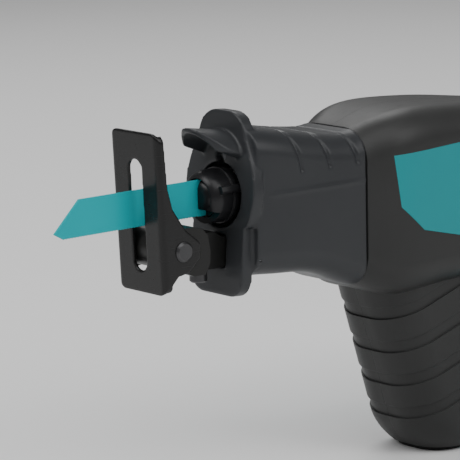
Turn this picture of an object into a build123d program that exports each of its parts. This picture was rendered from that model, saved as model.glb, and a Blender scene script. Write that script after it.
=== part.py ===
from build123d import *
import math
import os

# Cordless reciprocating saw, in millimetres.
#
# It is drawn about the stroke line: X runs rearwards from the axis of the shoe's pivot pin,
# Y runs to the saw's right, and Z runs up from the centre line of the blade. Each piece is
# moved as it is written, so that the row's origin is where the motor axis meets the surface
# that the saw stands on.

# ---- stance and overall lengths
STROKE_LINE_HEIGHT = 160.0      # blade centre line above the stand surface
FLANGE_X = 39.7                 # front of the nose flange, on the stroke line
FLANGE_SLANT = 4.3              # degrees that the flange leans, bottom forward
NECK_LENGTH = 69.5              # from the flange's back to the gear chamber
HEAD_HALF_WIDTH = 38.0

# ---- blade and its clamp
BLADE_HEIGHT = 19.0
BLADE_THICK = 1.2
BLADE_TIP_X = -67.2
BLADE_SHOULDER_X = 33.5
TOOTH_PITCH = 1.8
TOOTH_DEPTH = 0.45
TANG_HEIGHT = 12.0
TANG_LENGTH = 12.5
TANG_SLOT_CLEARANCE = 0.1
CLAMP_R = 9.2                   # clamp body
CLAMP_END_X = 54.0
SLEEVE_R = 14.0
SLEEVE_NOSE_X = 24.2
SLEEVE_END_X = 44.0
SLEEVE_NOSE_ROUND = 7.0
SLEEVE_LUG_R = 16.2
SLEEVE_LUG_WIDTH = 4.2
SLEEVE_LUG_TURN = 20.0          # degrees round from level
SLEEVE_TURN = 90.0
CAM_CLEARANCE = 0.45            # the cam's bore past the pin, over the whole turn
LOCK_PIN_R = 1.75
LOCK_PIN_X = 39.0
LOCK_PIN_LIFT = 2.4             # how far the sleeve's cam draws the pin outwards
CLAMP_WIRE_R = 0.6
CLAMP_RING_THICK = 1.5

# ---- slider and crank
ROD_R = 7.0
ROD_FIT = 0.04                  # radial running clearance in its bushes
BUSH_WALL = 3.0
BUSH_LENGTH = 17.0
CRANK_SETBACK = 3.25            # from the chamber's front wall to the crank gear's teeth
CRANK_THROW = 10.0              # stroke is twice this
GEAR_MODULE = 1.25
GEAR_TEETH = 40
PINION_TEETH = 10
PRESSURE_ANGLE = 20.0
PROFILE_SHIFT = 0.4
BACKLASH = 0.12
GEAR_TOP_Z = -22.0
GEAR_THICK = 8.0
CRANK_SHAFT_R = 4.0
CRANK_PIN_R = 3.0
ROLLER_R = 5.0
ROLLER_FIT = 0.05
YOKE_TOP_Z = -8.0
YOKE_DEPTH = 8.0
YOKE_WALL = 3.6
YOKE_PLAY = 2.3                 # each side of the roller, see the coupled motion
BALANCE_RISE = 3.5

# ---- gear housing
CASTING_WALL = 3.0
NECK_HALF_WIDTH = 24.4
NECK_TOP_Z = 26.5               # casting at the flange
NECK_REAR_TOP_Z = 22.5          # casting at the gear chamber
NECK_CORNER = 11.0
CHAMBER_HALF_WIDTH = 29.5
CHAMBER_CORNER = 13.0
CHAMBER_TOP_Z = 16.0
COVER_THICK = 5.0
SEAL_THICK = 3.0
SPACE = 0.3                     # general clearance between neighbouring pieces

# ---- motor
BEARING_R = 9.5                 # 7 x 19 x 6 ball bearing
BEARING_THICK = 6.0
CRANK_BEARING_R = 11.0          # 8 x 22 x 7 ball bearing
CRANK_BEARING_THICK = 7.0
MOTOR_SHAFT_R = 3.5
FAN_R = 22.0
FAN_TOP_Z = -50.0
FAN_THICK = 8.0
FAN_BLADES = 12
ROTOR_R = 15.0
ROTOR_LENGTH = 43.0
STATOR_R = 25.0
STATOR_LENGTH = 39.0
STATOR_POLES = 6
AIR_GAP = 0.6
COIL_RISE = 3.0                 # winding ends past the laminations
FAN_GAP = 6.0                   # between the fan and the laminations

# ---- shoe and its bracket
SHOE_PIN_Z = -21.9
SHOE_PIN_R = 4.0
SHOE_PIN_HEAD_R = 5.3
SHOE_PIN_HEAD = 1.5
SHOE_PIN_FIT = 0.06
SHOE_FACE = 13.5                # from the pin's axis to the shoe's front face
SHOE_WIDTH = 38.0
SHOE_HEIGHT = 83.4
SHOE_MIDDLE_Z = -1.4
SHOE_SHEET = 2.0
SHOE_CORNER = 5.5
SHOE_SLANT = 2.4                # degrees that the shoe hangs at, foot rearwards
SHOE_SLOT_WIDTH = 10.6
SHOE_SLOT_TOP_Z = 26.0
SHOE_SLOT_BOTTOM_Z = -31.7
SHOE_EAR_R = 11.0
BRACKET_HEAD_R = 10.8
STEM_WIDTH = 12.2
STEM_TOP_Z = -20.8
STEM_BOTTOM_Z = -37.2
STEM_END_X = 108.0
SHOE_TRAVEL = 30.0
NOTCH_PITCH = 10.0
STOP_BOLT_R = 4.7
LOCK_BUTTON_R = 4.5
LOCK_BUTTON_X = 62.0
LOCK_BUTTON_TRAVEL = 2.5

# ---- nose boot
BOOT_WALL = 3.0
FLANGE_THICK = 7.0
CHUCK_OPENING_R = 17.0
VISOR_REACH = 22.0              # ahead of the flange
VISOR_HALF_WIDTH = 17.5
VISOR_THICK = 2.4
BOOT_CORNER = 14.0
GROOVES = 3
GROOVE_START_X = 68.0
GROOVE_PITCH = 19.0
GROOVE_WIDTH = 2.4
GROOVE_DEPTH = 1.0
GROOVE_SLANT = 14.0             # degrees, lower end rearwards
LAMP_R = 3.6
LAMP_Z = 23.0

# ---- plastic housing
COLUMN_HALF_WIDTH = 28.5
COLUMN_CORNER = 23.0
COLUMN_LEAN = 17.4              # degrees, foot rearwards
COLUMN_SETBACK = 15.0           # behind the front of the gear chamber, at its top
COLUMN_TOP_Z = -61.0
COLUMN_BEND_Z = -139.0          # where its foot starts to round off
COLUMN_DEPTH_BEHIND = 32.75     # from the motor's axis to the column's back
RIB_PITCH = 19.5
RIB_RECESS = 7.0
RIB_DEPTH = 1.0
RIB_TOP_Z = -74.0
RIB_RECESSES = 4
GRIP_SKIN = 2.2                 # elastomer over the plastic
HEAD_TOP_Z = 35.0
HANDLE_HALF_WIDTH = 17.5
HANDLE_DEPTH = 35.0
HANDLE_ROUND = 9.0
HAND_ROOM = 66.0                # from the column's back to the grip's front, at the arm
HANDLE_TOP_Z = -10.0
HANDLE_LEAN = 16.4              # degrees, foot rearwards
BASE_TOP_Z = -94.0
BASE_BOTTOM_Z = -112.0
BASE_HALF_WIDTH = 34.0
BASE_OVERHANG = 15.0            # shelf past the battery's end
FOOT_PAD = 2.5
SCREW_R = 1.9
SCREW_HEAD_R = 3.6

# ---- trigger and switch
TRIGGER_HALF_WIDTH = 9.0
TRIGGER_TOP_Z = -15.0
TRIGGER_BOTTOM_Z = -53.0
TRIGGER_TRAVEL = 7.0
LOCK_OFF_R = 5.0
LOCK_OFF_SETBACK = 10.0
LOCK_OFF_RISE = 11.0
LOCK_OFF_TRAVEL = 2.0

# ---- battery pack
BATTERY_LENGTH = 115.0
BATTERY_HALF_WIDTH = 37.0
BATTERY_WALL = 2.5
RAIL_HALF_WIDTH = 24.8
RAIL_NECK = 3.3                 # how far the rail's lip is undercut
CELL_R = 9.2
CELL_LENGTH = 65.0
LATCH_TRAVEL = 3.0
LATCH_THICK = 9.0
CASE_SPLIT = 17.0               # height of the pack's lower tray
CONTACT_Y = 12.0
GAUGE_TRAVEL = 0.8

# ---- places worked out from the sizes above
STAND_Z = -STROKE_LINE_HEIGHT
NECK_START_X = FLANGE_X + FLANGE_THICK
CHAMBER_X = NECK_START_X + NECK_LENGTH + 1.8
GEAR_R = GEAR_MODULE * GEAR_TEETH / 2
GEAR_TIP_R = GEAR_R + GEAR_MODULE * (1 - PROFILE_SHIFT)
CRANK_X = CHAMBER_X + CASTING_WALL + GEAR_TIP_R + CRANK_SETBACK
PINION_R = GEAR_MODULE * PINION_TEETH / 2
PINION_TIP_R = PINION_R + GEAR_MODULE * (1 + PROFILE_SHIFT)
MOTOR_X = CRANK_X + GEAR_R + PINION_R
CHAMBER_END_X = MOTOR_X + PINION_TIP_R + 2 + CASTING_WALL
MOUTH_R = BLADE_HEIGHT / 2 + 0.9
YOKE_X = CRANK_X - CRANK_THROW
YOKE_SLOT = 2 * (ROLLER_R + YOKE_PLAY)
YOKE_BOTTOM_Z = YOKE_TOP_Z - YOKE_DEPTH
STROKE = 2 * CRANK_THROW
FRONT_BUSH_X = CLAMP_END_X + STROKE + 2.5 + SEAL_THICK
REAR_BUSH_X = CHAMBER_END_X - CASTING_WALL
ROD_END_X = REAR_BUSH_X + BUSH_LENGTH + 2
BOSS_END_X = ROD_END_X + STROKE + 4
COVER_Z = GEAR_TOP_Z - GEAR_THICK - 6
SHOE_HALF_INSIDE = SHOE_WIDTH / 2 - SHOE_SHEET
HANDLE_SLOPE = math.tan(math.radians(HANDLE_LEAN))
COLUMN_SLOPE = math.tan(math.radians(COLUMN_LEAN))
COLUMN_FRONT_X = CHAMBER_X + COLUMN_SETBACK
COLUMN_REAR_X = MOTOR_X + COLUMN_DEPTH_BEHIND
HANDLE_TOP_X = COLUMN_REAR_X + HAND_ROOM
BATTERY_X = COLUMN_REAR_X + 2
BATTERY_END_X = BATTERY_X + BATTERY_LENGTH
BATTERY_TOP_Z = BASE_BOTTOM_Z - SPACE
BASE_END_X = BATTERY_END_X + BASE_OVERHANG
BATTERY_SPLIT_Z = STAND_Z + CASE_SPLIT
LATCH_X = (BATTERY_END_X - LATCH_THICK + 1, BATTERY_END_X + 1)
CELL_ROOM_X = (BATTERY_X + BATTERY_WALL, BATTERY_END_X - LATCH_THICK - 2)
HEAD_Z = (BASE_BOTTOM_Z + 4 + SPACE, BASE_BOTTOM_Z + 12 - SPACE)
STATOR_TOP_Z = FAN_TOP_Z - FAN_THICK - FAN_GAP
STATOR_Z = (STATOR_TOP_Z - STATOR_LENGTH, STATOR_TOP_Z)
ROTOR_Z = (STATOR_Z[0] - 2, STATOR_Z[0] - 2 + ROTOR_LENGTH)
LOWER_BEARING_Z = ROTOR_Z[0] - 10
LOCK_BUTTON_Z = (STEM_TOP_Z + STEM_BOTTOM_Z) / 2
VISOR_FRONT_X = FLANGE_X + 2 - VISOR_REACH
LOCK_OFF_X = HANDLE_TOP_X + LOCK_OFF_SETBACK
LOCK_OFF_Z = HANDLE_TOP_Z + LOCK_OFF_RISE
TO_ROW = Pos(-MOTOR_X, 0, STROKE_LINE_HEIGHT)


# ---- small helpers
def block(x, y, z):
    """A box between two X, two Y and two Z values."""
    size = (x[1] - x[0], y[1] - y[0], z[1] - z[0])
    return Pos((x[0] + x[1]) / 2, (y[0] + y[1]) / 2, (z[0] + z[1]) / 2) * Box(*size)


def rod_x(radius, x, y=0, z=0):
    return Pos((x[0] + x[1]) / 2, y, z) * Rot(0, 90, 0) * Cylinder(radius, x[1] - x[0])


def rod_y(radius, y, x, z):
    return Pos(x, (y[0] + y[1]) / 2, z) * Rot(90, 0, 0) * Cylinder(radius, y[1] - y[0])


def rod_z(radius, z, x, y=0):
    return Pos(x, y, (z[0] + z[1]) / 2) * Cylinder(radius, z[1] - z[0])


def ring_x(outer, inner, x, y=0, z=0):
    return rod_x(outer, x, y, z) - rod_x(inner, x, y, z)


def ring_z(outer, inner, z, x, y=0):
    return rod_z(outer, z, x, y) - rod_z(inner, z, x, y)


def side_plate(points, half_width, rounds=0):
    """An outline in X and Z, given thickness both sides of the middle plane."""
    outline = make_face(Polyline(*points, close=True))
    if rounds:
        outline = fillet(outline.vertices(), rounds)
    return extrude(Plane.XZ * outline, half_width, both=True)


def across(x, half_width, low, high, corner):
    """A rounded rectangle square to X."""
    plane = Plane((x, 0, (low + high) / 2), x_dir=(0, 1, 0), z_dir=(1, 0, 0))
    return plane * RectangleRounded(2 * half_width, high - low, corner)


def level(z, front, rear, half_width, corner):
    """A rounded rectangle square to Z."""
    plane = Plane(((front + rear) / 2, 0, z))
    return plane * RectangleRounded(rear - front, 2 * half_width, corner)


def coil(radius, wire, pitch, turns, place):
    """A round-wire spring along its own Z."""
    path = Helix(pitch, pitch * turns, radius)
    section = Plane(path @ 0, z_dir=path % 0) * Circle(wire)
    return place * sweep(section, path=path, is_frenet=True)


def screw_z(head_r, shank_r, head, length, x, y, z):
    """A cap screw whose head sits at z and whose shank rises from it."""
    socket = Pos(x, y, z - head / 2) * extrude(RegularPolygon(head_r * 0.5, 6), head * 0.5, dir=(0, 0, -1))
    body = rod_z(head_r, (z - head, z), x, y) + rod_z(shank_r, (z, z + length), x, y)
    return body - socket


# ---- blade and clamp
def blade():
    half = BLADE_HEIGHT / 2
    count = int((BLADE_SHOULDER_X - 6 - (BLADE_TIP_X + 5)) / TOOTH_PITCH)
    teeth = []
    for i in range(count):
        x = BLADE_TIP_X + 5 + i * TOOTH_PITCH
        teeth += [(x, -half + TOOTH_DEPTH), (x + 0.35 * TOOTH_PITCH, -half)]
    end = BLADE_SHOULDER_X + TANG_LENGTH
    points = [(BLADE_TIP_X + 16, half), (BLADE_TIP_X, -half + 3.2)] + teeth
    points += [
        (BLADE_SHOULDER_X - 3, -half),
        (BLADE_SHOULDER_X, -TANG_HEIGHT / 2),
        (end, -TANG_HEIGHT / 2),
        (end, TANG_HEIGHT / 2),
        (BLADE_SHOULDER_X, TANG_HEIGHT / 2),
        (BLADE_SHOULDER_X - 3, half),
    ]
    return side_plate(points, BLADE_THICK / 2) - rod_y(LOCK_PIN_R + 0.25, (-3, 3), LOCK_PIN_X, 0)


def blade_clamp_body():
    """The rod's split front end: a slot for the tang and a hole for the pin that locks it."""
    body = rod_x(CLAMP_R, (BLADE_SHOULDER_X, CLAMP_END_X))
    gap = BLADE_THICK / 2 + TANG_SLOT_CLEARANCE
    high = TANG_HEIGHT / 2 + TANG_SLOT_CLEARANCE
    slot = block((BLADE_SHOULDER_X - 1, BLADE_SHOULDER_X + TANG_LENGTH + 0.5), (-gap, gap), (-high, high))
    pin_hole = rod_y(LOCK_PIN_R + ROLLER_FIT, (-CLAMP_R - 1, 3.5), LOCK_PIN_X, 0)
    rod_seat = rod_x(ROD_R - 1.5, (CLAMP_END_X - 7, CLAMP_END_X + 1))
    return body + clamp_nose(gap) - slot - pin_hole - rod_seat


def clamp_nose(gap):
    """The domed cap in the sleeve's mouth, split for the blade and cut away below."""
    front = SLEEVE_NOSE_X + 0.6
    dome = rod_x(MOUTH_R - SPACE, (front, BLADE_SHOULDER_X))
    dome = fillet(dome.edges().group_by(Axis.X)[0], 6)
    split = block((front - 1, BLADE_SHOULDER_X), (-gap, gap), (-MOUTH_R, MOUTH_R))
    return dome - split - sleeve_window()


def sleeve_window():
    """What is cut away under the nose, so that the blade's root shows."""
    x = (SLEEVE_NOSE_X - 6, BLADE_SHOULDER_X - 3)
    cut = block(x, (-SLEEVE_R, SLEEVE_R), (-SLEEVE_R - 1, 0))
    return Pos(SLEEVE_NOSE_X, 0, -5.5) * Rot(0, 14, 0) * Pos(-SLEEVE_NOSE_X, 0, 0) * cut


def clamp_sleeve():
    """The quick-release sleeve: its eccentric bore draws the lock pin out as it turns."""
    shell = rod_x(SLEEVE_R, (SLEEVE_NOSE_X, SLEEVE_END_X))
    nose = shell.edges().group_by(Axis.X)[0]
    shell = fillet(nose, SLEEVE_NOSE_ROUND)
    rim = ring_x(SLEEVE_R + 0.8, SLEEVE_R - 1, (SLEEVE_END_X - 6, SLEEVE_END_X - 3.5))
    wide = SLEEVE_LUG_WIDTH / 2
    lug = block((SLEEVE_NOSE_X + 5, SLEEVE_END_X - 1), (-SLEEVE_LUG_R, -10), (-wide, wide))
    lug = fillet(lug.edges().filter_by(Axis.X).group_by(Axis.Y)[0], 1.2)
    bore = rod_x(CLAMP_R + ROLLER_FIT, (SLEEVE_NOSE_X, SLEEVE_END_X + 1))
    mouth = rod_x(MOUTH_R, (SLEEVE_NOSE_X - 1, BLADE_SHOULDER_X + 0.5))
    middle = CLAMP_R + LOCK_PIN_LIFT / 2 + CAM_CLEARANCE
    throw = LOCK_PIN_LIFT / (2 * math.sin(math.radians(SLEEVE_TURN / 2)))
    cam = Rot(SLEEVE_TURN / 2, 0, 0) * rod_x(middle, (LOCK_PIN_X - 2.2, LOCK_PIN_X + 2.2), throw, 0)
    turned_lug = Rot(-SLEEVE_LUG_TURN, 0, 0) * lug
    return shell + rim + turned_lug - bore - mouth - cam - sleeve_window()


def clamp_lock_pin():
    return rod_y(LOCK_PIN_R, (-CLAMP_R + 0.2, BLADE_THICK / 2 + 0.6), LOCK_PIN_X, 0)


def clamp_spring():
    turns = 3
    room = CLAMP_END_X - CLAMP_RING_THICK - SLEEVE_END_X - 2 * SPACE - 2 * CLAMP_WIRE_R
    place = Pos(SLEEVE_END_X + SPACE + CLAMP_WIRE_R, 0, 0) * Rot(0, 90, 0)
    return coil(CLAMP_R + 1.4, CLAMP_WIRE_R, room / turns, turns, place)


def clamp_retaining_ring():
    return ring_x(CLAMP_R + 3.2, CLAMP_R, (CLAMP_END_X - CLAMP_RING_THICK, CLAMP_END_X))


# ---- slider, crank and gears
def slider_rod():
    rod = rod_x(ROD_R, (CLAMP_END_X, ROD_END_X)) + rod_x(ROD_R - 1.5, (CLAMP_END_X - 7, CLAMP_END_X))
    hollow = rod_x(ROD_R - 3, (FRONT_BUSH_X + BUSH_LENGTH, ROD_END_X + 1))
    return rod - hollow - rod_y(2, (-ROD_R - 1, ROD_R + 1), YOKE_X, 0)


def yoke():
    """A cross slide below the rod, with a slot across it for the crank's roller."""
    half_slot = YOKE_SLOT / 2
    reach = CRANK_THROW + ROLLER_R + SPACE
    x = (YOKE_X - half_slot - YOKE_WALL, YOKE_X + half_slot + YOKE_WALL)
    frame = block(x, (-reach - YOKE_WALL, reach + YOKE_WALL), (YOKE_BOTTOM_Z, YOKE_TOP_Z))
    frame = fillet(frame.edges().filter_by(Axis.Z), 3)
    slot = block((YOKE_X - half_slot, YOKE_X + half_slot), (-reach, reach), (YOKE_BOTTOM_Z - 1, YOKE_TOP_Z + 1))
    saddle = block(x, (-ROD_R - 4, ROD_R + 4), (YOKE_TOP_Z, ROD_R + 3))
    saddle = fillet(saddle.edges().filter_by(Axis.X).group_by(Axis.Z)[-1], 3)
    return frame - slot + saddle - rod_x(ROD_R, (x[0] - 1, x[1] + 1)) - rod_y(2, (-20, 20), YOKE_X, 0)


def yoke_pin():
    return rod_y(2, (-ROD_R - 4, ROD_R + 4), YOKE_X, 0)


def front_bush():
    return ring_x(ROD_R + BUSH_WALL, ROD_R + ROD_FIT, (FRONT_BUSH_X, FRONT_BUSH_X + BUSH_LENGTH))


def rear_bush():
    return ring_x(ROD_R + BUSH_WALL, ROD_R + ROD_FIT, (REAR_BUSH_X, REAR_BUSH_X + BUSH_LENGTH))


def dust_seal():
    ring = ring_x(ROD_R + BUSH_WALL, ROD_R + 0.1, (FRONT_BUSH_X - SEAL_THICK, FRONT_BUSH_X))
    return ring - ring_x(ROD_R + 2, ROD_R + 1, (FRONT_BUSH_X - SEAL_THICK - 1, FRONT_BUSH_X - 1))


def involute_point(base_r, radius, turn):
    """A point on an involute, measured round from where its flank leaves the base circle."""
    pressure = math.acos(min(1.0, base_r / radius))
    angle = turn + math.tan(pressure) - pressure
    return (radius * math.cos(angle), radius * math.sin(angle))


def gear_blank(teeth, shift, thick):
    """A spur gear's toothed disc, from its own involute flanks."""
    pitch_r = GEAR_MODULE * teeth / 2
    pressure = math.radians(PRESSURE_ANGLE)
    base_r = pitch_r * math.cos(pressure)
    tip_r = pitch_r + GEAR_MODULE * (1 + shift)
    root_r = pitch_r - GEAR_MODULE * (1.25 - shift)
    width = GEAR_MODULE * (math.pi / 2 + 2 * shift * math.tan(pressure)) - BACKLASH
    half = width / (2 * pitch_r) + math.tan(pressure) - pressure
    start_r = max(base_r, root_r)
    radii = [start_r + (tip_r - start_r) * i / 4 for i in range(5)]
    points = []
    for tooth in range(teeth):
        middle = 2 * math.pi * tooth / teeth
        flank = [involute_point(base_r, r, -half) for r in radii]
        flank = [(root_r * math.cos(half), -root_r * math.sin(half))] + flank
        flank += [(x, -y) for x, y in reversed(flank)]
        for x, y in flank:
            points.append((
                x * math.cos(middle) - y * math.sin(middle),
                x * math.sin(middle) + y * math.cos(middle),
            ))
    return extrude(make_face(Polyline(*points, close=True)), thick)


def crank_gear():
    bottom = GEAR_TOP_Z - GEAR_THICK
    blank = Pos(CRANK_X, 0, bottom) * gear_blank(GEAR_TEETH, -PROFILE_SHIFT, GEAR_THICK)
    hub = rod_z(CRANK_SHAFT_R + 3, (bottom - 2, bottom), CRANK_X)
    shaft = rod_z(CRANK_SHAFT_R, (COVER_Z - CRANK_BEARING_THICK, bottom), CRANK_X)
    reach = GEAR_R - 4
    weight = rod_z(reach, (GEAR_TOP_Z, GEAR_TOP_Z + BALANCE_RISE), CRANK_X)
    weight &= block((CRANK_X + 4, CRANK_X + reach + 1), (-reach, reach), (GEAR_TOP_Z, GEAR_TOP_Z + BALANCE_RISE))
    gear = blank + hub + shaft + weight
    for side in (-1, 1):
        gear -= rod_z(4.5, (bottom - 1, GEAR_TOP_Z + 1), CRANK_X - 6, side * 14)
    return gear - rod_z(CRANK_PIN_R, (bottom - 1, GEAR_TOP_Z + 1), YOKE_X)


def crank_pin():
    return rod_z(CRANK_PIN_R, (GEAR_TOP_Z - GEAR_THICK, YOKE_TOP_Z - SPACE - 0.2), YOKE_X)


def crank_roller():
    z = (YOKE_BOTTOM_Z + SPACE, YOKE_TOP_Z - SPACE - 0.2)
    return ring_z(ROLLER_R, CRANK_PIN_R + ROLLER_FIT, z, YOKE_X)


def bearing(bore_r, outer_r, thick, top, x):
    """Both races of a ball bearing, with its balls between them."""
    z = (top - thick, top)
    race = (outer_r - bore_r) * 0.3
    middle_r = (outer_r + bore_r) / 2
    parts = [ring_z(outer_r, outer_r - race, z, x), ring_z(bore_r + race, bore_r, z, x)]
    ball = Pos(x, 0, top - thick / 2) * Sphere((outer_r - bore_r) / 2 - race + 0.25)
    count = 8
    for i in range(count):
        angle = 2 * math.pi * i / count
        parts.append(Pos(middle_r * math.cos(angle), middle_r * math.sin(angle), 0) * ball)
    return parts[0] + parts[1:]


def crank_bearing():
    return bearing(CRANK_SHAFT_R, CRANK_BEARING_R, CRANK_BEARING_THICK, COVER_Z, CRANK_X)


def motor_bearing_top():
    return bearing(MOTOR_SHAFT_R, BEARING_R, BEARING_THICK, COVER_Z, MOTOR_X)


def motor_bearing_bottom():
    return bearing(MOTOR_SHAFT_R, BEARING_R, BEARING_THICK, LOWER_BEARING_Z, MOTOR_X)


def motor_shaft():
    return rod_z(MOTOR_SHAFT_R, (LOWER_BEARING_Z - BEARING_THICK, GEAR_TOP_Z + 0.5), MOTOR_X)


def motor_pinion():
    turn = Rot(0, 0, 180 + 180 / PINION_TEETH)
    blank = gear_blank(PINION_TEETH, PROFILE_SHIFT, GEAR_THICK)
    pinion = Pos(MOTOR_X, 0, GEAR_TOP_Z - GEAR_THICK) * turn * blank
    return pinion - rod_z(MOTOR_SHAFT_R, (GEAR_TOP_Z - GEAR_THICK - 1, GEAR_TOP_Z + 1), MOTOR_X)


def rotor_core():
    core = ring_z(ROTOR_R, MOTOR_SHAFT_R, ROTOR_Z, MOTOR_X)
    for i in range(4):
        turn = Pos(MOTOR_X, 0, 0) * Rot(0, 0, 45 + 90 * i)
        magnet = block((ROTOR_R * 0.68, ROTOR_R * 0.68 + 2), (-5, 5), (ROTOR_Z[0] - 1, ROTOR_Z[1] + 1))
        core -= turn * magnet
    return core


def rotor_magnets():
    found = []
    for i in range(4):
        turn = Pos(MOTOR_X, 0, 0) * Rot(0, 0, 45 + 90 * i)
        found.append(turn * block((ROTOR_R * 0.68, ROTOR_R * 0.68 + 2), (-5, 5), ROTOR_Z))
    return found[0] + found[1:]


def stator_core():
    inner = ROTOR_R + AIR_GAP
    core = ring_z(STATOR_R, STATOR_R - 3.5, STATOR_Z, MOTOR_X)
    core += ring_z(inner + 1.6, inner, STATOR_Z, MOTOR_X)
    for i in range(STATOR_POLES):
        turn = Pos(MOTOR_X, 0, 0) * Rot(0, 0, 360 / STATOR_POLES * i)
        core += turn * block((inner + 0.8, STATOR_R - 2), (-2, 2), STATOR_Z)
        middle = Pos(MOTOR_X, 0, 0) * Rot(0, 0, 360 / STATOR_POLES * (i + 0.5))
        core -= middle * block((inner - 1, inner + 3), (-1, 1), (STATOR_Z[0] - 1, STATOR_Z[1] + 1))
    return core


def stator_coils():
    """One winding round each pole, standing a little proud of the laminations."""
    inner = ROTOR_R + AIR_GAP + 1.6 + SPACE
    outer = STATOR_R - 3.5 - 1
    z = (STATOR_Z[0] - COIL_RISE, STATOR_Z[1] + COIL_RISE)
    found = []
    for i in range(STATOR_POLES):
        turn = Pos(MOTOR_X, 0, 0) * Rot(0, 0, 360 / STATOR_POLES * i)
        winding = block((inner, outer), (-5, 5), z)
        winding = fillet(winding.edges().filter_by(Axis.X), 2.4)
        found.append(turn * (winding - block((inner - 1, outer + 1), (-2, 2), STATOR_Z)))
    return found[0] + found[1:]


def motor_fan():
    z = (FAN_TOP_Z - FAN_THICK, FAN_TOP_Z)
    fan = ring_z(FAN_R, MOTOR_SHAFT_R, (z[1] - 1.5, z[1]), MOTOR_X) + ring_z(7, MOTOR_SHAFT_R, z, MOTOR_X)
    for i in range(FAN_BLADES):
        turn = Pos(MOTOR_X, 0, 0) * Rot(0, 0, 360 / FAN_BLADES * i)
        vane = Pos(11, 0, 0) * Rot(0, 0, 25) * block((0, 11), (-0.6, 0.6), (z[0], z[1] - 1))
        fan += turn * vane
    return fan & rod_z(FAN_R, z, MOTOR_X)


def controller():
    board = block((MOTOR_X - 10, MOTOR_X + 22), (-17, 17), (STAND_Z + 12, STAND_Z + 14))
    for i in range(3):
        for side in (-1, 1):
            x = MOTOR_X - 7 + 10 * i
            board += block((x, x + 6), (side * 9 - 4, side * 9 + 4), (STAND_Z + 14, STAND_Z + 18))
    return board


# ---- gear housing
def casting_neck(front, rear, grow=0.0):
    """The casting's neck between two X values, grown by a clearance where asked."""
    low = STEM_BOTTOM_Z - SPACE - CASTING_WALL - grow
    fall = (NECK_TOP_Z - NECK_REAR_TOP_Z) / (CHAMBER_X - NECK_START_X)
    return loft([
        across(x, NECK_HALF_WIDTH + grow, low, NECK_TOP_Z + grow - fall * (x - NECK_START_X), NECK_CORNER)
        for x in (front, rear)
    ])


def gear_housing():
    """One casting: neck with the bush, chamber for the gears, and the rear bush's boss."""
    neck = casting_neck(NECK_START_X - 1.7, CHAMBER_X + 2)
    low = STEM_BOTTOM_Z - SPACE - CASTING_WALL
    half = CHAMBER_HALF_WIDTH
    chamber = block((CHAMBER_X, CHAMBER_END_X), (-half, half), (COVER_Z, CHAMBER_TOP_Z))
    chamber = fillet(chamber.edges().filter_by(Axis.Z), CHAMBER_CORNER)
    chamber = fillet(chamber.edges().group_by(Axis.Z)[-1], 3)
    wall = CASTING_WALL
    room = block((CHAMBER_X + wall, CHAMBER_END_X - wall), (wall - half, half - wall),
                 (COVER_Z - 1, CHAMBER_TOP_Z - wall))
    room = fillet(room.edges().filter_by(Axis.Z), CHAMBER_CORNER - wall)
    boss = rod_x(ROD_R + BUSH_WALL + 2, (CHAMBER_END_X - wall, BOSS_END_X))
    body = neck + chamber + boss
    for x in (CHAMBER_X + wall + 3.5, CHAMBER_END_X - wall - 3.5):
        for y in (wall + 3.5 - half, half - wall - 3.5):
            room -= rod_z(4, (COVER_Z - 1, CHAMBER_TOP_Z), x, y)
            body -= rod_z(SCREW_R, (COVER_Z - 1, COVER_Z + 12), x, y)
    body -= room
    body -= block((CHAMBER_X, CHAMBER_X + 5), (-half, half), (COVER_Z - 20, COVER_Z))
    body -= rod_x(CHUCK_OPENING_R + SPACE, (NECK_START_X - 3, FRONT_BUSH_X - SEAL_THICK))
    body -= rod_x(ROD_R + BUSH_WALL, (FRONT_BUSH_X - SEAL_THICK - 1, FRONT_BUSH_X + BUSH_LENGTH))
    body -= rod_x(ROD_R + 1, (FRONT_BUSH_X, ROD_END_X + STROKE + 1))
    body -= rod_x(ROD_R + BUSH_WALL, (REAR_BUSH_X, REAR_BUSH_X + BUSH_LENGTH))
    body -= stem_channel(NECK_START_X - 3, STEM_END_X + 2)
    button_way = (STEM_WIDTH / 2 + SPACE - 1, NECK_HALF_WIDTH + 1)
    body -= rod_y(LOCK_BUTTON_R + SPACE, button_way, LOCK_BUTTON_X, LOCK_BUTTON_Z)
    body -= rod_x(LAMP_R + 1.5, (NECK_START_X - 3, NECK_START_X + 8), 0, LAMP_Z - 3)
    for side in (-1, 1):
        y = sorted((side * (STEM_WIDTH / 2 + 5), side * (NECK_HALF_WIDTH - wall)))
        pocket = block((FRONT_BUSH_X - 2, CHAMBER_X - wall), y, (low + 8, -ROD_R - 9))
        body -= fillet(pocket.edges(), 1.5)
    top = (ROD_R + BUSH_WALL + 3, NECK_REAR_TOP_Z - wall)
    top_pocket = block((FRONT_BUSH_X - 2, CHAMBER_X - wall), (-15, 15), top)
    return body - fillet(top_pocket.edges(), 1.5)


def stem_channel(front, rear):
    """The square way that the shoe bracket's stem slides in."""
    half = STEM_WIDTH / 2 + SPACE
    return block((front, rear), (-half, half), (STEM_BOTTOM_Z - SPACE, STEM_TOP_Z + SPACE))


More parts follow.
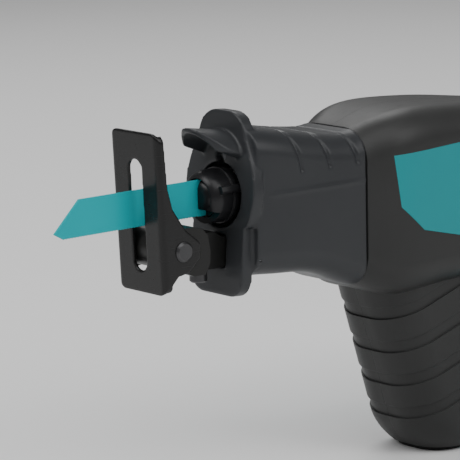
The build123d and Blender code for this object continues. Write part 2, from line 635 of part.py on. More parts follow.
def gear_housing_cover():
    half = CHAMBER_HALF_WIDTH
    plate = block((CHAMBER_X, CHAMBER_END_X), (-half, half), (COVER_Z - COVER_THICK, COVER_Z))
    plate = fillet(plate.edges().filter_by(Axis.Z), CHAMBER_CORNER)
    floor = 1.5
    plate += rod_z(CRANK_BEARING_R + 2.5, (COVER_Z - CRANK_BEARING_THICK - floor, COVER_Z), CRANK_X)
    plate += rod_z(BEARING_R + 2.5, (COVER_Z - BEARING_THICK - floor, COVER_Z), MOTOR_X)
    plate -= rod_z(CRANK_BEARING_R, (COVER_Z - CRANK_BEARING_THICK, COVER_Z + 1), CRANK_X)
    plate -= rod_z(BEARING_R, (COVER_Z - BEARING_THICK, COVER_Z + 1), MOTOR_X)
    plate -= rod_z(MOTOR_SHAFT_R + 1, (COVER_Z - 20, COVER_Z + 1), MOTOR_X)
    plate &= block((CHAMBER_X, CHAMBER_END_X), (-half, half), (COVER_Z - 20, COVER_Z + 1))
    for x, y in cover_screw_places():
        plate -= rod_z(SCREW_R, (COVER_Z - 20, COVER_Z + 1), x, y)
    return plate


def cover_screw_places():
    inset = CASTING_WALL + 3.5
    return [
        (x, y)
        for x in (CHAMBER_X + inset, CHAMBER_END_X - inset)
        for y in (inset - CHAMBER_HALF_WIDTH, CHAMBER_HALF_WIDTH - inset)
    ]


def gear_housing_screws():
    found = [
        screw_z(SCREW_R + 1.5, SCREW_R, 2.5, COVER_THICK + 9, x, y, COVER_Z - COVER_THICK)
        for x, y in cover_screw_places()
    ]
    return found[0] + found[1:]


# ---- shoe and bracket
def tilted(piece):
    """Leans a piece about the shoe's pin, foot rearwards, as the shoe hangs at rest."""
    about = Pos(0, 0, SHOE_PIN_Z)
    return about * Rot(0, -SHOE_SLANT, 0) * about.inverse() * piece


def shoe_plate():
    """Bent sheet: a slotted face with a flange down each side and an ear at each end of the pin."""
    half = SHOE_WIDTH / 2
    low = SHOE_MIDDLE_Z - SHOE_HEIGHT / 2
    high = SHOE_MIDDLE_Z + SHOE_HEIGHT / 2
    side = [
        (-SHOE_FACE, low), (-SHOE_FACE, high), (-SHOE_FACE + 4.5, high), (-SHOE_FACE + 5.5, 12),
        (-SHOE_FACE + 8, 1), (2, -11), (SHOE_EAR_R, SHOE_PIN_Z + 3), (SHOE_EAR_R, SHOE_PIN_Z - 5),
        (3, SHOE_PIN_Z - 11.6), (-4, SHOE_PIN_Z - 12.4), (-SHOE_FACE + 5.5, SHOE_PIN_Z - 16),
        (-SHOE_FACE + 5.5, low),
    ]
    outline = make_face(Polyline(*side, close=True))
    ear = outline.vertices().sort_by(Axis.X)[-2:]
    outline = fillet(ear, 3.4)
    shell = extrude(Plane.XZ * outline, half, both=True)
    front = shell.edges().filter_by(Axis.Z).group_by(Axis.X)[0]
    shell = fillet(front, 3)
    inside = half - SHOE_SHEET
    hollow = block((-SHOE_FACE + SHOE_SHEET, SHOE_EAR_R + 5), (-inside, inside), (low - 1, high + 1))
    hollow = fillet(hollow.edges().filter_by(Axis.Z).group_by(Axis.X)[0], 1.2)
    shell -= hollow
    middle = Plane((0, 0, SHOE_MIDDLE_Z), x_dir=(0, 1, 0), z_dir=(1, 0, 0))
    face = middle * RectangleRounded(SHOE_WIDTH, SHOE_HEIGHT, SHOE_CORNER)
    shell &= extrude(face, SHOE_EAR_R + 5, both=True) + block((-8, 14), (-half, half), (-40, 0))
    slot_high = SHOE_SLOT_TOP_Z - SHOE_SLOT_BOTTOM_Z
    slot = SlotOverall(slot_high, SHOE_SLOT_WIDTH, rotation=90)
    slot_plane = Plane((0, 0, (SHOE_SLOT_TOP_Z + SHOE_SLOT_BOTTOM_Z) / 2), x_dir=(0, 1, 0), z_dir=(1, 0, 0))
    shell -= extrude(slot_plane * slot, -SHOE_FACE - 2) & block((-20, -8), (-10, 10), (-50, 50))
    return tilted(shell - rod_y(SHOE_PIN_R, (-half - 1, half + 1), 0, SHOE_PIN_Z))


def shoe_pin():
    """A shouldered rivet through both ears, fixed in the shoe and free in the bracket."""
    half = SHOE_WIDTH / 2
    pin = rod_y(SHOE_PIN_R, (-half, half), 0, SHOE_PIN_Z)
    for side in (-1, 1):
        y = sorted((side * half, side * (half + SHOE_PIN_HEAD)))
        head = rod_y(SHOE_PIN_HEAD_R, y, 0, SHOE_PIN_Z)
        rim = head.edges().filter_by(GeomType.CIRCLE).sort_by(lambda e: side * e.center().Y)[-1]
        pin += chamfer(rim, 1.1)
    return pin


def shoe_washers():
    inside = SHOE_HALF_INSIDE
    found = [
        rod_y(7.5, sorted((side * inside, side * (inside - 1))), 0, SHOE_PIN_Z)
        - rod_y(SHOE_PIN_R, sorted((side * (inside + 1), side * (inside - 2))), 0, SHOE_PIN_Z)
        for side in (-1, 1)
    ]
    return found[0] + found[1:]


def shoe_bracket():
    """Pivot head, then the stem that slides in the neck, notched for the lock button."""
    half = SHOE_HALF_INSIDE - 1 - 0.1
    head = rod_y(BRACKET_HEAD_R, (-half, half), 0, SHOE_PIN_Z)
    body = side_plate([
        (0, SHOE_PIN_Z - BRACKET_HEAD_R), (0, SHOE_PIN_Z + BRACKET_HEAD_R), (9, -10.8), (15, -12.5),
        (18.6, -16.5), (20, -24.5), (19.6, -31), (16.5, -36.4), (9, -36.4),
    ], half)
    body = fillet(body.edges().filter_by(Axis.Y).group_by(Axis.X)[-1], 2)
    stem_half = STEM_WIDTH / 2
    stem = block((12, STEM_END_X), (-stem_half, stem_half), (STEM_BOTTOM_Z, STEM_TOP_Z))
    stem = fillet(stem.edges().filter_by(Axis.X), 1.2)
    root = side_plate(
        [(14, -13), (20, -17.6), (31, -17.6), (36, STEM_TOP_Z - 0.2), (36, -36), (14, -36)], stem_half,
    )
    bracket = head + body + root + stem
    bracket -= rod_y(SHOE_PIN_R + SHOE_PIN_FIT, (-half - 1, half + 1), 0, SHOE_PIN_Z)
    count = int(SHOE_TRAVEL / NOTCH_PITCH) + 1
    for i in range(count):
        x = LOCK_BUTTON_X + i * NOTCH_PITCH
        bracket -= rod_z(2.6, (STEM_BOTTOM_Z - 1, STEM_TOP_Z + 1), x, stem_half + 0.8)
    return bracket - rod_z(STOP_BOLT_R - 2, (-39, -30), 24.5)


def stop_bolt():
    """A hexagon-socket bolt under the stem that stops it at the nose."""
    top = STEM_BOTTOM_Z
    bolt = rod_z(STOP_BOLT_R, (top - 6.5, top), 24.5) + rod_z(STOP_BOLT_R - 2, (top, top + 6), 24.5)
    bolt = chamfer(bolt.edges().group_by(Axis.Z)[0], 0.8)
    return bolt - Pos(24.5, 0, top - 7) * extrude(RegularPolygon(2.5, 6), 3.5)


def shoe_lock_button():
    """Pressed from the right: its tooth stands in a notch of the stem."""
    outer = NECK_HALF_WIDTH + BOOT_WALL + 3.5
    inner = STEM_WIDTH / 2 + SPACE
    button = rod_y(LOCK_BUTTON_R, (inner + 6, outer), LOCK_BUTTON_X, LOCK_BUTTON_Z)
    button = chamfer(button.edges().group_by(Axis.Y)[-1], 0.8)
    return button + rod_y(1.6, (inner + LOCK_BUTTON_TRAVEL, inner + 6), LOCK_BUTTON_X, LOCK_BUTTON_Z)


def shoe_lock_spring():
    inner = STEM_WIDTH / 2 + SPACE
    place = Pos(LOCK_BUTTON_X, inner + 0.9, LOCK_BUTTON_Z) * Rot(-90, 0, 0)
    return coil(3.4, 0.4, 1.2, 3.2, place)


# ---- nose boot and lamp
def flange_plane(setback=0.0):
    """The plane of the nose flange's front face, or one behind it."""
    normal = (-math.cos(math.radians(FLANGE_SLANT)), 0, math.sin(math.radians(FLANGE_SLANT)))
    origin = (FLANGE_X - normal[0] * setback, 0, -normal[2] * setback)
    return Plane(origin, x_dir=(0, -1, 0), z_dir=normal)


def flange_outline():
    """Half a pear shape and its mirror image: widest beside the chuck, square at the foot."""
    side = [
        (0, 44), (8.5, 43.5), (14.5, 40), (19, 31), (23.4, 20), (26.8, 10), (27.4, 1), (25.6, -7.5),
        (22, -15), (20.5, -24),
    ]
    foot = [(20.5, -24), (20.5, -42)]
    with BuildSketch() as sketch:
        with BuildLine():
            Spline(*side, tangents=[(1, 0), (0, -1)])
            Line(*foot)
            RadiusArc((20.5, -42), (10.5, -52), 10)
            Line((10.5, -52), (0, -52))
            Line((0, -52), (0, 44))
        make_face()
        mirror(about=Plane.YZ)
    return sketch.sketch


def boot_neck(inset):
    """The waisted outside of the neck, at a given depth below its surface."""
    end = CHAMBER_X - 1
    step = (end - NECK_START_X) / 6
    x = [NECK_START_X - 2.2 + step * i for i in range(6)] + [end]
    tops = [36.5, 34.5, 32.2, 30.0, 28.2, 26.8, 27.2]
    feet = [-42.2, -42.6, -43.5, -44.6, -47.5, -52.5, -56.5]
    wide = [25, 26.4, 27.2, 27.6, 27.9, 28.2, 28.6]
    return loft([
        across(at, half - inset, foot + inset, top - inset, BOOT_CORNER - inset)
        for at, half, foot, top in zip(x, wide, feet, tops)
    ])


def finger_grooves():
    """Slanting grooves across the neck's back, for the leading hand."""
    skin = boot_neck(0) - boot_neck(GROOVE_DEPTH)
    found = []
    for i in range(GROOVES):
        slab = block((0, GROOVE_WIDTH), (-40, 40), (-18, 30))
        at = GROOVE_START_X + GROOVE_PITCH * i
        found.append(Pos(at, 0, 28) * Rot(0, -GROOVE_SLANT, 0) * slab)
    return skin & (found[0] + found[1:])


def boot():
    """The rubber nose: flange, sleeve over the neck, and the hood above the chuck."""
    flange = extrude(flange_plane() * flange_outline(), -FLANGE_THICK)
    body = flange + boot_neck(0) + visor() - finger_grooves()
    body -= casting_neck(NECK_START_X - 1.7, CHAMBER_X + 3)
    body -= rod_x(CHUCK_OPENING_R, (FLANGE_X - 8, NECK_START_X + 2))
    body -= rod_x(LAMP_R, (VISOR_FRONT_X, NECK_START_X + 2), 0, LAMP_Z - 3)
    body -= stem_channel(FLANGE_X - 10, NECK_START_X + 2)
    return body - rod_y(LOCK_BUTTON_R + SPACE, (NECK_HALF_WIDTH - 1, 40), LOCK_BUTTON_X, LOCK_BUTTON_Z)


def visor():
    """A duck-bill hood whose lip is thin at the front and runs back into the flange."""
    sections = []
    for x, rise, spread, end_z, thick in (
        (VISOR_FRONT_X - 1, 37.2, 15.5, 30, VISOR_THICK),
        (FLANGE_X + 4, 33.5, VISOR_HALF_WIDTH, 21.5, VISOR_THICK * 1.9),
    ):
        plane = Plane((x, 0, 0), x_dir=(0, 1, 0), z_dir=(1, 0, 0))
        with BuildSketch(plane) as sketch:
            with BuildLine():
                ThreePointArc((-spread, end_z), (0, rise), (spread, end_z))
                Line((spread, end_z), (spread - thick, end_z - thick * 0.6))
                ThreePointArc((spread - thick, end_z - thick * 0.6), (0, rise - thick), (thick - spread, end_z - thick * 0.6))
                Line((thick - spread, end_z - thick * 0.6), (-spread, end_z))
            make_face()
        sections.append(sketch.sketch)
    bill = loft(sections)
    plan = Pos(FLANGE_X + 2, 0, 10) * extrude(Ellipse(VISOR_REACH, VISOR_HALF_WIDTH), 35)
    return bill & plan


def lamp_lens():
    lens = rod_x(LAMP_R - 0.1, (NECK_START_X - 2, NECK_START_X + 3), 0, LAMP_Z - 3)
    return fillet(lens.edges().group_by(Axis.X)[0], 1.2)


# ---- plastic housing: whole outer form at a given depth below its surface
def head_form(inset):
    low = COLUMN_TOP_Z
    sections = [
        (CHAMBER_X - 0.5, 29, low + 4.5, 27.4, 18),
        (CHAMBER_X + 7, 32.5, low + 0.5, 29.2, 18),
        (CHAMBER_X + 16, HEAD_HALF_WIDTH - 2, low - 3, 32.2, 18),
        (CHAMBER_X + 32, HEAD_HALF_WIDTH, low - 4, HEAD_TOP_Z, 18),
        (MOTOR_X, HEAD_HALF_WIDTH, low - 2, HEAD_TOP_Z - 0.8, 17),
        (COLUMN_REAR_X - 6, HEAD_HALF_WIDTH - 3, low + 8, HEAD_TOP_Z - 3, 16),
        (COLUMN_REAR_X + 14, HEAD_HALF_WIDTH - 12, low + 38, HEAD_TOP_Z - 5, 14),
        (COLUMN_REAR_X + 34, HANDLE_HALF_WIDTH - 1, -10, HEAD_TOP_Z - 10, 12),
    ]
    ends = {0: -inset, len(sections) - 1: inset}
    return loft([
        across(x - ends.get(i, 0), half - inset, foot + inset, top - inset, corner - inset)
        for i, (x, half, foot, top, corner) in enumerate(sections)
    ])


def column_front(z):
    return COLUMN_FRONT_X + (COLUMN_TOP_Z - z) * COLUMN_SLOPE


def column_form(inset):
    """The leaning front column, rounded at its foot."""
    foot = STAND_Z + FOOT_PAD
    half = COLUMN_HALF_WIDTH - inset
    corner = COLUMN_CORNER - inset
    rear = COLUMN_REAR_X - inset
    heights = [COLUMN_TOP_Z + 16, COLUMN_TOP_Z - 31.5, COLUMN_BEND_Z]
    body = loft([level(z, column_front(z) + inset, rear, half, corner) for z in heights])
    low_front = column_front(COLUMN_BEND_Z) + inset
    lower = loft([
        level(COLUMN_BEND_Z, low_front, rear, half, corner),
        level(COLUMN_BEND_Z - 9, low_front + 4.5, rear - 0.5, half - 0.8, corner),
        level(foot + inset, low_front + 14, rear - 4, half - 5, corner - 4),
    ])
    return body + lower


def handle_front(z):
    return HANDLE_TOP_X + (HANDLE_TOP_Z - z) * HANDLE_SLOPE


def handle_form(inset):
    """The closed handle: arm over, grip behind and base below, round one finger opening."""
    rear = HANDLE_DEPTH
    low = BASE_BOTTOM_Z
    outer = [
        (COLUMN_REAR_X - 22, HEAD_TOP_Z - 5), (COLUMN_REAR_X + 50, HEAD_TOP_Z - 9),
        (handle_front(0) + rear - 9, 20), (handle_front(-22) + rear, -18),
        (handle_front(low) + rear - 1, low), (COLUMN_REAR_X - 22, low),
    ]
    inner = [
        (COLUMN_REAR_X + 8, -12), (handle_front(-6) - 4, HANDLE_TOP_Z + 0.5),
        (handle_front(BASE_TOP_Z) - 3, BASE_TOP_Z), (COLUMN_REAR_X + 8, BASE_TOP_Z),
    ]
    outline = fillet(make_face(Polyline(*outer, close=True)).vertices(), 12)
    hole = fillet(make_face(Polyline(*inner, close=True)).vertices(), 15)
    if inset:
        outline = offset(outline, -inset)
        hole = offset(hole, inset)
    half = HANDLE_HALF_WIDTH - inset
    body = extrude(Plane.XZ * outline, half, both=True)
    body = fillet(side_edges(body, half), HANDLE_ROUND - inset)
    around = side_edges(body, half)
    body -= extrude(Plane.XZ * hole, half + 1, both=True)
    mouth = [e for e in side_edges(body, half) if all(e.center() != old.center() for old in around)]
    return fillet(mouth, HANDLE_ROUND - 1 - inset)


def side_edges(body, half):
    """The edges that lie in a body's flat sides."""
    return [e for e in body.edges() if abs(abs(e.center().Y) - half) < 0.01]


def base_form(inset):
    """The wide shelf that the battery pack slides under."""
    front = COLUMN_REAR_X - 8
    shelf = block((front, BASE_END_X - inset), (inset - BASE_HALF_WIDTH, BASE_HALF_WIDTH - inset),
                  (BASE_BOTTOM_Z, BASE_TOP_Z + 2 - inset))
    shelf = fillet(shelf.edges().filter_by(Axis.Z).group_by(Axis.X)[-1], 12 - inset)
    return fillet(shelf.edges().group_by(Axis.Z)[-1], 6 - inset / 2)


def outer_form(inset=0.0):
    return head_form(inset) + column_form(inset) + handle_form(inset) + base_form(inset)


def inner_form():
    """Everything hollowed out of the two housing halves."""
    half = CHAMBER_HALF_WIDTH + SPACE
    gap = SPACE
    chamber = block((CHAMBER_X - 0.2, CHAMBER_END_X + gap), (-half, half),
                    (COVER_Z - COVER_THICK - gap, CHAMBER_TOP_Z + gap))
    rooms = [
        fillet(chamber.edges().filter_by(Axis.Z), CHAMBER_CORNER),
        casting_neck(CHAMBER_X - 5, CHAMBER_X + 4, gap),
        rod_x(ROD_R + BUSH_WALL + 2 + gap, (CHAMBER_END_X - 1, BOSS_END_X + 1)),
        rod_z(CRANK_BEARING_R + 3, (COVER_Z - CRANK_BEARING_THICK - 2, COVER_Z), CRANK_X),
        rod_z(STATOR_R + 0.1, (STATOR_Z[0] - 6, COVER_Z), MOTOR_X),
        rod_z(BEARING_R, (LOWER_BEARING_Z - BEARING_THICK, LOWER_BEARING_Z), MOTOR_X),
        rod_z(6, (LOWER_BEARING_Z - BEARING_THICK - 2, STATOR_Z[0]), MOTOR_X),
        block((MOTOR_X - 12, MOTOR_X + 24), (-19, 19), (STAND_Z + 11.7, STAND_Z + 22)),
        grip_room(),
        block((handle_front(TRIGGER_TOP_Z) - 20, handle_front(TRIGGER_BOTTOM_Z) + 6),
              (-TRIGGER_HALF_WIDTH - gap, TRIGGER_HALF_WIDTH + gap), (TRIGGER_BOTTOM_Z - gap, TRIGGER_TOP_Z + gap)),
        rod_y(LOCK_OFF_R + 0.1, (-40, 40), LOCK_OFF_X, LOCK_OFF_Z),
        rail_channel(),
        block((BATTERY_END_X - 8.5, BATTERY_END_X - 3.5), (-10.5, 10.5), (BASE_BOTTOM_Z - 1, BASE_BOTTOM_Z + 3)),
    ]
    for x, y in cover_screw_places():
        rooms.append(rod_z(SCREW_R + 1.5 + gap, (COVER_Z - COVER_THICK - 3, COVER_Z), x, y))
    return rooms[0] + rooms[1:]


def grip_room():
    half = HANDLE_HALF_WIDTH - 4.5
    high = HANDLE_TOP_Z - 1
    low = TRIGGER_BOTTOM_Z - 12
    return side_plate([
        (handle_front(high) + 4.8, high), (handle_front(high) + HANDLE_DEPTH - 4.8, high),
        (handle_front(low) + HANDLE_DEPTH - 4.8, low), (handle_front(low) + 4.8, low),
    ], half)


def rail_channel():
    """The undercut way in the shelf that takes the pack's rails, open at the back and below."""
    wide = RAIL_HALF_WIDTH + SPACE
    neck = RAIL_HALF_WIDTH - RAIL_NECK + SPACE
    x = (BATTERY_X - 0.5, BASE_END_X + 1)
    return block(x, (-wide, wide), (BASE_BOTTOM_Z + 4, BASE_BOTTOM_Z + 12)) + block(
        x, (-neck, neck), (BASE_BOTTOM_Z - 1, BASE_BOTTOM_Z + 5))


def skin_area():
    """Side view of where the elastomer lies: nose, back of the head, front column and grip."""
    front = side_plate([
        (CHAMBER_X - 8, 60), (COLUMN_REAR_X + 22, 60), (COLUMN_REAR_X + 22, 18), (CHAMBER_X + 13, 13),
        (CHAMBER_X + 17, -15), (CHAMBER_X + 32, -29), (MOTOR_X + 6, -38), (MOTOR_X + 13, -60),
        (MOTOR_X + 13, STAND_Z - 10), (CHAMBER_X - 8, STAND_Z - 10),
    ], 60)
    grip = side_plate([
        (handle_front(-4) - 12, -4), (handle_front(-4) + 60, -4), (handle_front(-84) + 60, -84),
        (handle_front(-84) - 12, -84),
    ], 60)
    return front, grip


def column_recesses():
    """Slabs square to the column's front, one for each sunk band between its ribs."""
    found = []
    for i in range(RIB_RECESSES):
        z = RIB_TOP_Z - RIB_PITCH * i
        slab = block((-30, 110), (-50, 50), (-RIB_RECESS, 0))
        found.append(Pos(column_front(z), 0, z) * Rot(0, -COLUMN_LEAN, 0) * slab)
    return found[0] + found[1:]


def vent_slots():
    """Air slots beside the motor, through the housing's side walls."""
    found = []
    for i in range(7):
        z = FAN_TOP_Z - 2 - 8 * i
        for side in (-1, 1):
            y = sorted((side * 14, side * 60))
            found.append(block((MOTOR_X + 17, MOTOR_X + 28), y, (z - 2.6, z)))
    return found[0] + found[1:]


def screw_places():
    """Where the halves are screwed together, in side view, clear of everything inside them."""
    return [
        (CHAMBER_X + 24, CHAMBER_TOP_Z + 8.5), (CHAMBER_END_X + 12, CHAMBER_TOP_Z + 7),
        (LOCK_OFF_X - 20, 8), (handle_front(-80) + HANDLE_DEPTH / 2, -80),
        (MOTOR_X + 22, LOWER_BEARING_Z - 12), (MOTOR_X - 16.5, LOWER_BEARING_Z - 8),
        (CHAMBER_X + 29, COLUMN_TOP_Z - 3.5), (MOTOR_X - 4, STAND_Z + 6.8),
    ]


def screw_holes():
    found = []
    for x, z in screw_places():
        found.append(rod_y(SCREW_HEAD_R + 0.2, (12, 60), x, z))
        found.append(rod_y(SCREW_R, (-12, 12.5), x, z))
    return found[0] + found[1:]


def housing_screws():
    found = []
    for x, z in screw_places():
        head = rod_y(SCREW_HEAD_R, (12, 15), x, z)
        socket = Pos(x, 15, z) * Rot(90, 0, 0) * extrude(RegularPolygon(1.8, 6), 2)
        found.append(head + rod_y(SCREW_R, (-12, 12), x, z) - socket)
    return found[0] + found[1:]


def housing_pieces():
    """The two hard halves and the elastomer moulded over each."""
    whole = outer_form()
    rooms = inner_form()
    skin = whole - outer_form(GRIP_SKIN)
    front, grip = skin_area()
    band = (column_form(0) - column_form(RIB_DEPTH)) & column_recesses()
    hollow = rooms + screw_holes()
    shell = whole - hollow - vent_slots()
    soft_front = (skin & front) - hollow
    soft_grip = (skin & grip) - hollow
    hard = shell - front.intersect(skin) - grip.intersect(skin)
    soft_front -= band
    pieces = {}
    for name, y in (("left", (-80, 0)), ("right", (0, 80))):
        side = block((0, 400), y, (-200, 100))
        pieces[f"housing_{name}"] = hard & side
        pieces[f"soft_cover_{name}"] = soft_front & side
        pieces[f"grip_cover_{name}"] = soft_grip & side
    return pieces


def stand_foot():
    front = column_front(COLUMN_BEND_Z) + 17
    half = COLUMN_HALF_WIDTH - 9
    pad = block((front, COLUMN_REAR_X - 8), (-half, half), (STAND_Z, STAND_Z + FOOT_PAD))
    return fillet(pad.edges().filter_by(Axis.Z), half - 4)


# ---- trigger, switch and lock-off
def trigger():
    top = TRIGGER_TOP_Z
    foot = TRIGGER_BOTTOM_Z
    middle = (top + foot) / 2
    outline = make_face(Polyline(
        (handle_front(top) - 9, top), (handle_front(middle) - 13, middle), (handle_front(foot) - 6, foot),
        (handle_front(foot) + 6, foot), (handle_front(top) + 6, top), close=True))
    outline = fillet(outline.vertices().sort_by(Axis.X)[:2], 5)
    body = extrude(Plane.XZ * outline, TRIGGER_HALF_WIDTH, both=True)
    outer = [e for e in body.edges() if abs(abs(e.center().Y) - TRIGGER_HALF_WIDTH) < 0.01]
    face = [e for e in outer if e.center().X < handle_front(middle) - 6]
    body = fillet(face, 2.5)
    return body - rod_x(4.3, (handle_front(middle) - 4, handle_front(middle) + 20), 0, middle)


def trigger_spring():
    middle = (TRIGGER_TOP_Z + TRIGGER_BOTTOM_Z) / 2
    start = handle_front(middle) - 4
    length = 10 + TRIGGER_TRAVEL + 0.3 - 1.4
    return coil(3.3, 0.45, length / 6, 6, Pos(start + 0.7, 0, middle) * Rot(0, 90, 0))


def switch_body():
    top = TRIGGER_TOP_Z + 2
    foot = TRIGGER_BOTTOM_Z - 8
    front = 6 + TRIGGER_TRAVEL + 0.4
    rear = HANDLE_DEPTH - 4.8 - SPACE
    half = HANDLE_HALF_WIDTH - 4.5 - SPACE
    return side_plate([
        (handle_front(top) + front, top), (handle_front(top) + rear, top),
        (handle_front(foot) + rear, foot), (handle_front(foot) + front, foot),
    ], half)


def lock_off_button():
    half = HANDLE_HALF_WIDTH + 2
    button = rod_y(LOCK_OFF_R, (-half, half), LOCK_OFF_X, LOCK_OFF_Z)
    return fillet(button.edges().filter_by(GeomType.CIRCLE), 1.2)


# ---- battery pack
def battery_case():
    half = BATTERY_HALF_WIDTH
    case = block((BATTERY_X, BATTERY_END_X), (-half, half), (STAND_Z, BATTERY_TOP_Z))
    case = fillet(case.edges().filter_by(Axis.Z), 9)
    case = fillet(case.edges().group_by(Axis.Z)[-1] + case.edges().group_by(Axis.Z)[0], 2.5)
    x = (BATTERY_X + 12, BATTERY_END_X - 9)
    neck = RAIL_HALF_WIDTH - RAIL_NECK
    case += block(x, (-neck, neck), (BATTERY_TOP_Z - 3, HEAD_Z[0] + 1))
    head = block(x, (-RAIL_HALF_WIDTH, RAIL_HALF_WIDTH), HEAD_Z)
    case += fillet(head.edges().filter_by(Axis.X), 0.8)
    wall = BATTERY_WALL
    case -= block(CELL_ROOM_X, (wall - half, half - wall), (STAND_Z + wall, BATTERY_TOP_Z - wall))
    case -= block((x[0] + 2, x[0] + 24), (-18, 18), (BATTERY_TOP_Z - 1, HEAD_Z[1] - 1.5))
    for side in (-1, 1):
        y = side * CONTACT_Y
        case -= block((x[0] - 1, x[0] + 3), (y - 1, y + 1), (HEAD_Z[0] + 0.5, HEAD_Z[1] - 1.5))
        case -= block((BATTERY_X + 20, BATTERY_X + 50), sorted((side * (half - 1), side * (half + 1))), (-150, -144))
    latch_way = (LATCH_X[0] - SPACE, LATCH_X[1] + 1)
    case -= block(latch_way, (-14 - SPACE, 14 + SPACE), (BATTERY_SPLIT_Z + 1, BATTERY_TOP_Z + 9))
    case -= rod_x(2.6 + SPACE, (BATTERY_END_X - 3, BATTERY_END_X + 1), -9, STAND_Z + 8.5)
    return case - block((BATTERY_END_X - 2, BATTERY_END_X + 1), (-4, 14), (STAND_Z + 5.5, STAND_Z + 11.5))


def battery_case_bottom():
    return battery_case() & block((0, 400), (-60, 60), (STAND_Z, BATTERY_SPLIT_Z))


def battery_case_top():
    return battery_case() & block((0, 400), (-60, 60), (BATTERY_SPLIT_Z, 0))


def battery_cells():
    found = []
    pitch = (CELL_ROOM_X[1] - CELL_ROOM_X[0]) / 5
    for row in range(2):
        for i in range(5):
            x = CELL_ROOM_X[0] + pitch * (i + 0.5)
            z = STAND_Z + BATTERY_WALL + 0.4 + CELL_R + row * (2 * CELL_R + 0.4)
            cell = rod_y(CELL_R, (-CELL_LENGTH / 2, CELL_LENGTH / 2), x, z)
            found.append(cell)
    return found[0] + found[1:]


def battery_board():
    z = BATTERY_TOP_Z - BATTERY_WALL - 2.4
    return block((CELL_ROOM_X[0] + 2, CELL_ROOM_X[1] - 2), (-26, 26), (z, z + 1.6))


def battery_contacts():
    """A pair of forks in the pack's head, one round each blade of the saw's terminal block."""
    found = []
    x = BATTERY_X + 18
    for side in (-1, 1):
        y = side * CONTACT_Y
        fork = block((x, x + 12), (y - 2, y + 2), (HEAD_Z[0], HEAD_Z[1] - 2))
        found.append(fork - block((x - 1, x + 10), (y - 0.7, y + 0.7), (HEAD_Z[0] - 1, HEAD_Z[1])))
    return found[0] + found[1:]


def battery_terminal():
    block_part = block((BATTERY_X - 0.5, BATTERY_X + 10), (-18, 18), HEAD_Z)
    for side in (-1, 1):
        y = side * CONTACT_Y
        block_part += block((BATTERY_X + 9, BATTERY_X + 27), (y - 0.4, y + 0.4), (HEAD_Z[0] + 1.5, HEAD_Z[1] - 2.5))
    return block_part


def battery_latch():
    z = (BATTERY_SPLIT_Z + 1 + LATCH_TRAVEL + 3, BATTERY_TOP_Z - 1.5)
    key = block(LATCH_X, (-14, 14), z)
    key = fillet(key.edges().group_by(Axis.X)[-1], 2)
    for i in range(4):
        key -= block((LATCH_X[1] - 0.8, LATCH_X[1] + 1), (-9, 9), (z[0] + 5 + 4 * i, z[0] + 6.5 + 4 * i))
    return key + block((LATCH_X[0], LATCH_X[0] + 4), (-10, 10), (z[1] - 1, BATTERY_TOP_Z))


def battery_latch_spring():
    z = BATTERY_SPLIT_Z + 1.5
    length = LATCH_TRAVEL + 3 - 1.1
    found = [coil(2.6, 0.35, length / 4, 4, Pos(LATCH_X[0] + 4.2, side * 8, z)) for side in (-1, 1)]
    return found[0] + found[1:]


def gauge_button():
    return rod_x(2.6, (BATTERY_END_X - 2, BATTERY_END_X + 0.9), -9, STAND_Z + 8.5)


def gauge_window():
    window = block((BATTERY_END_X - 2, BATTERY_END_X + 0.2), (-4, 14), (STAND_Z + 5.5, STAND_Z + 11.5))
    return fillet(window.edges().group_by(Axis.X)[-1], 0.15)


SINGLE_PIECES = (
    blade, blade_clamp_body, clamp_sleeve, clamp_lock_pin, clamp_spring, clamp_retaining_ring,
    slider_rod, yoke, yoke_pin, front_bush, rear_bush, dust_seal, crank_gear, crank_pin, crank_roller,
    crank_bearing, motor_bearing_top, motor_bearing_bottom, motor_shaft, motor_pinion, rotor_core,
    rotor_magnets, stator_core, stator_coils, motor_fan, controller, gear_housing, gear_housing_cover,
    gear_housing_screws, shoe_plate, shoe_pin, shoe_washers, shoe_bracket, stop_bolt, shoe_lock_button,
    shoe_lock_spring, boot, lamp_lens, stand_foot, housing_screws, trigger, trigger_spring,
    switch_body, lock_off_button, battery_case_bottom, battery_case_top, battery_cells, battery_board,
    battery_contacts, battery_terminal, battery_latch, battery_latch_spring, gauge_button, gauge_window,
)


def main():
    os.makedirs("parts", exist_ok=True)
    pieces = {make.__name__: make() for make in SINGLE_PIECES}
    pieces.update(housing_pieces())
    for name, piece in pieces.items():
        placed = TO_ROW * piece
        export_step(Compound(children=placed.solids()), f"parts/{name}.step")
        print(name, len(placed.solids()), round(placed.volume))


main()
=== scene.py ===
"""Looks for a cordless reciprocating saw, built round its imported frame, in metres."""

import logging
import math
from dataclasses import dataclass, field
from enum import Enum

import bpy
from mathutils import Matrix, Vector


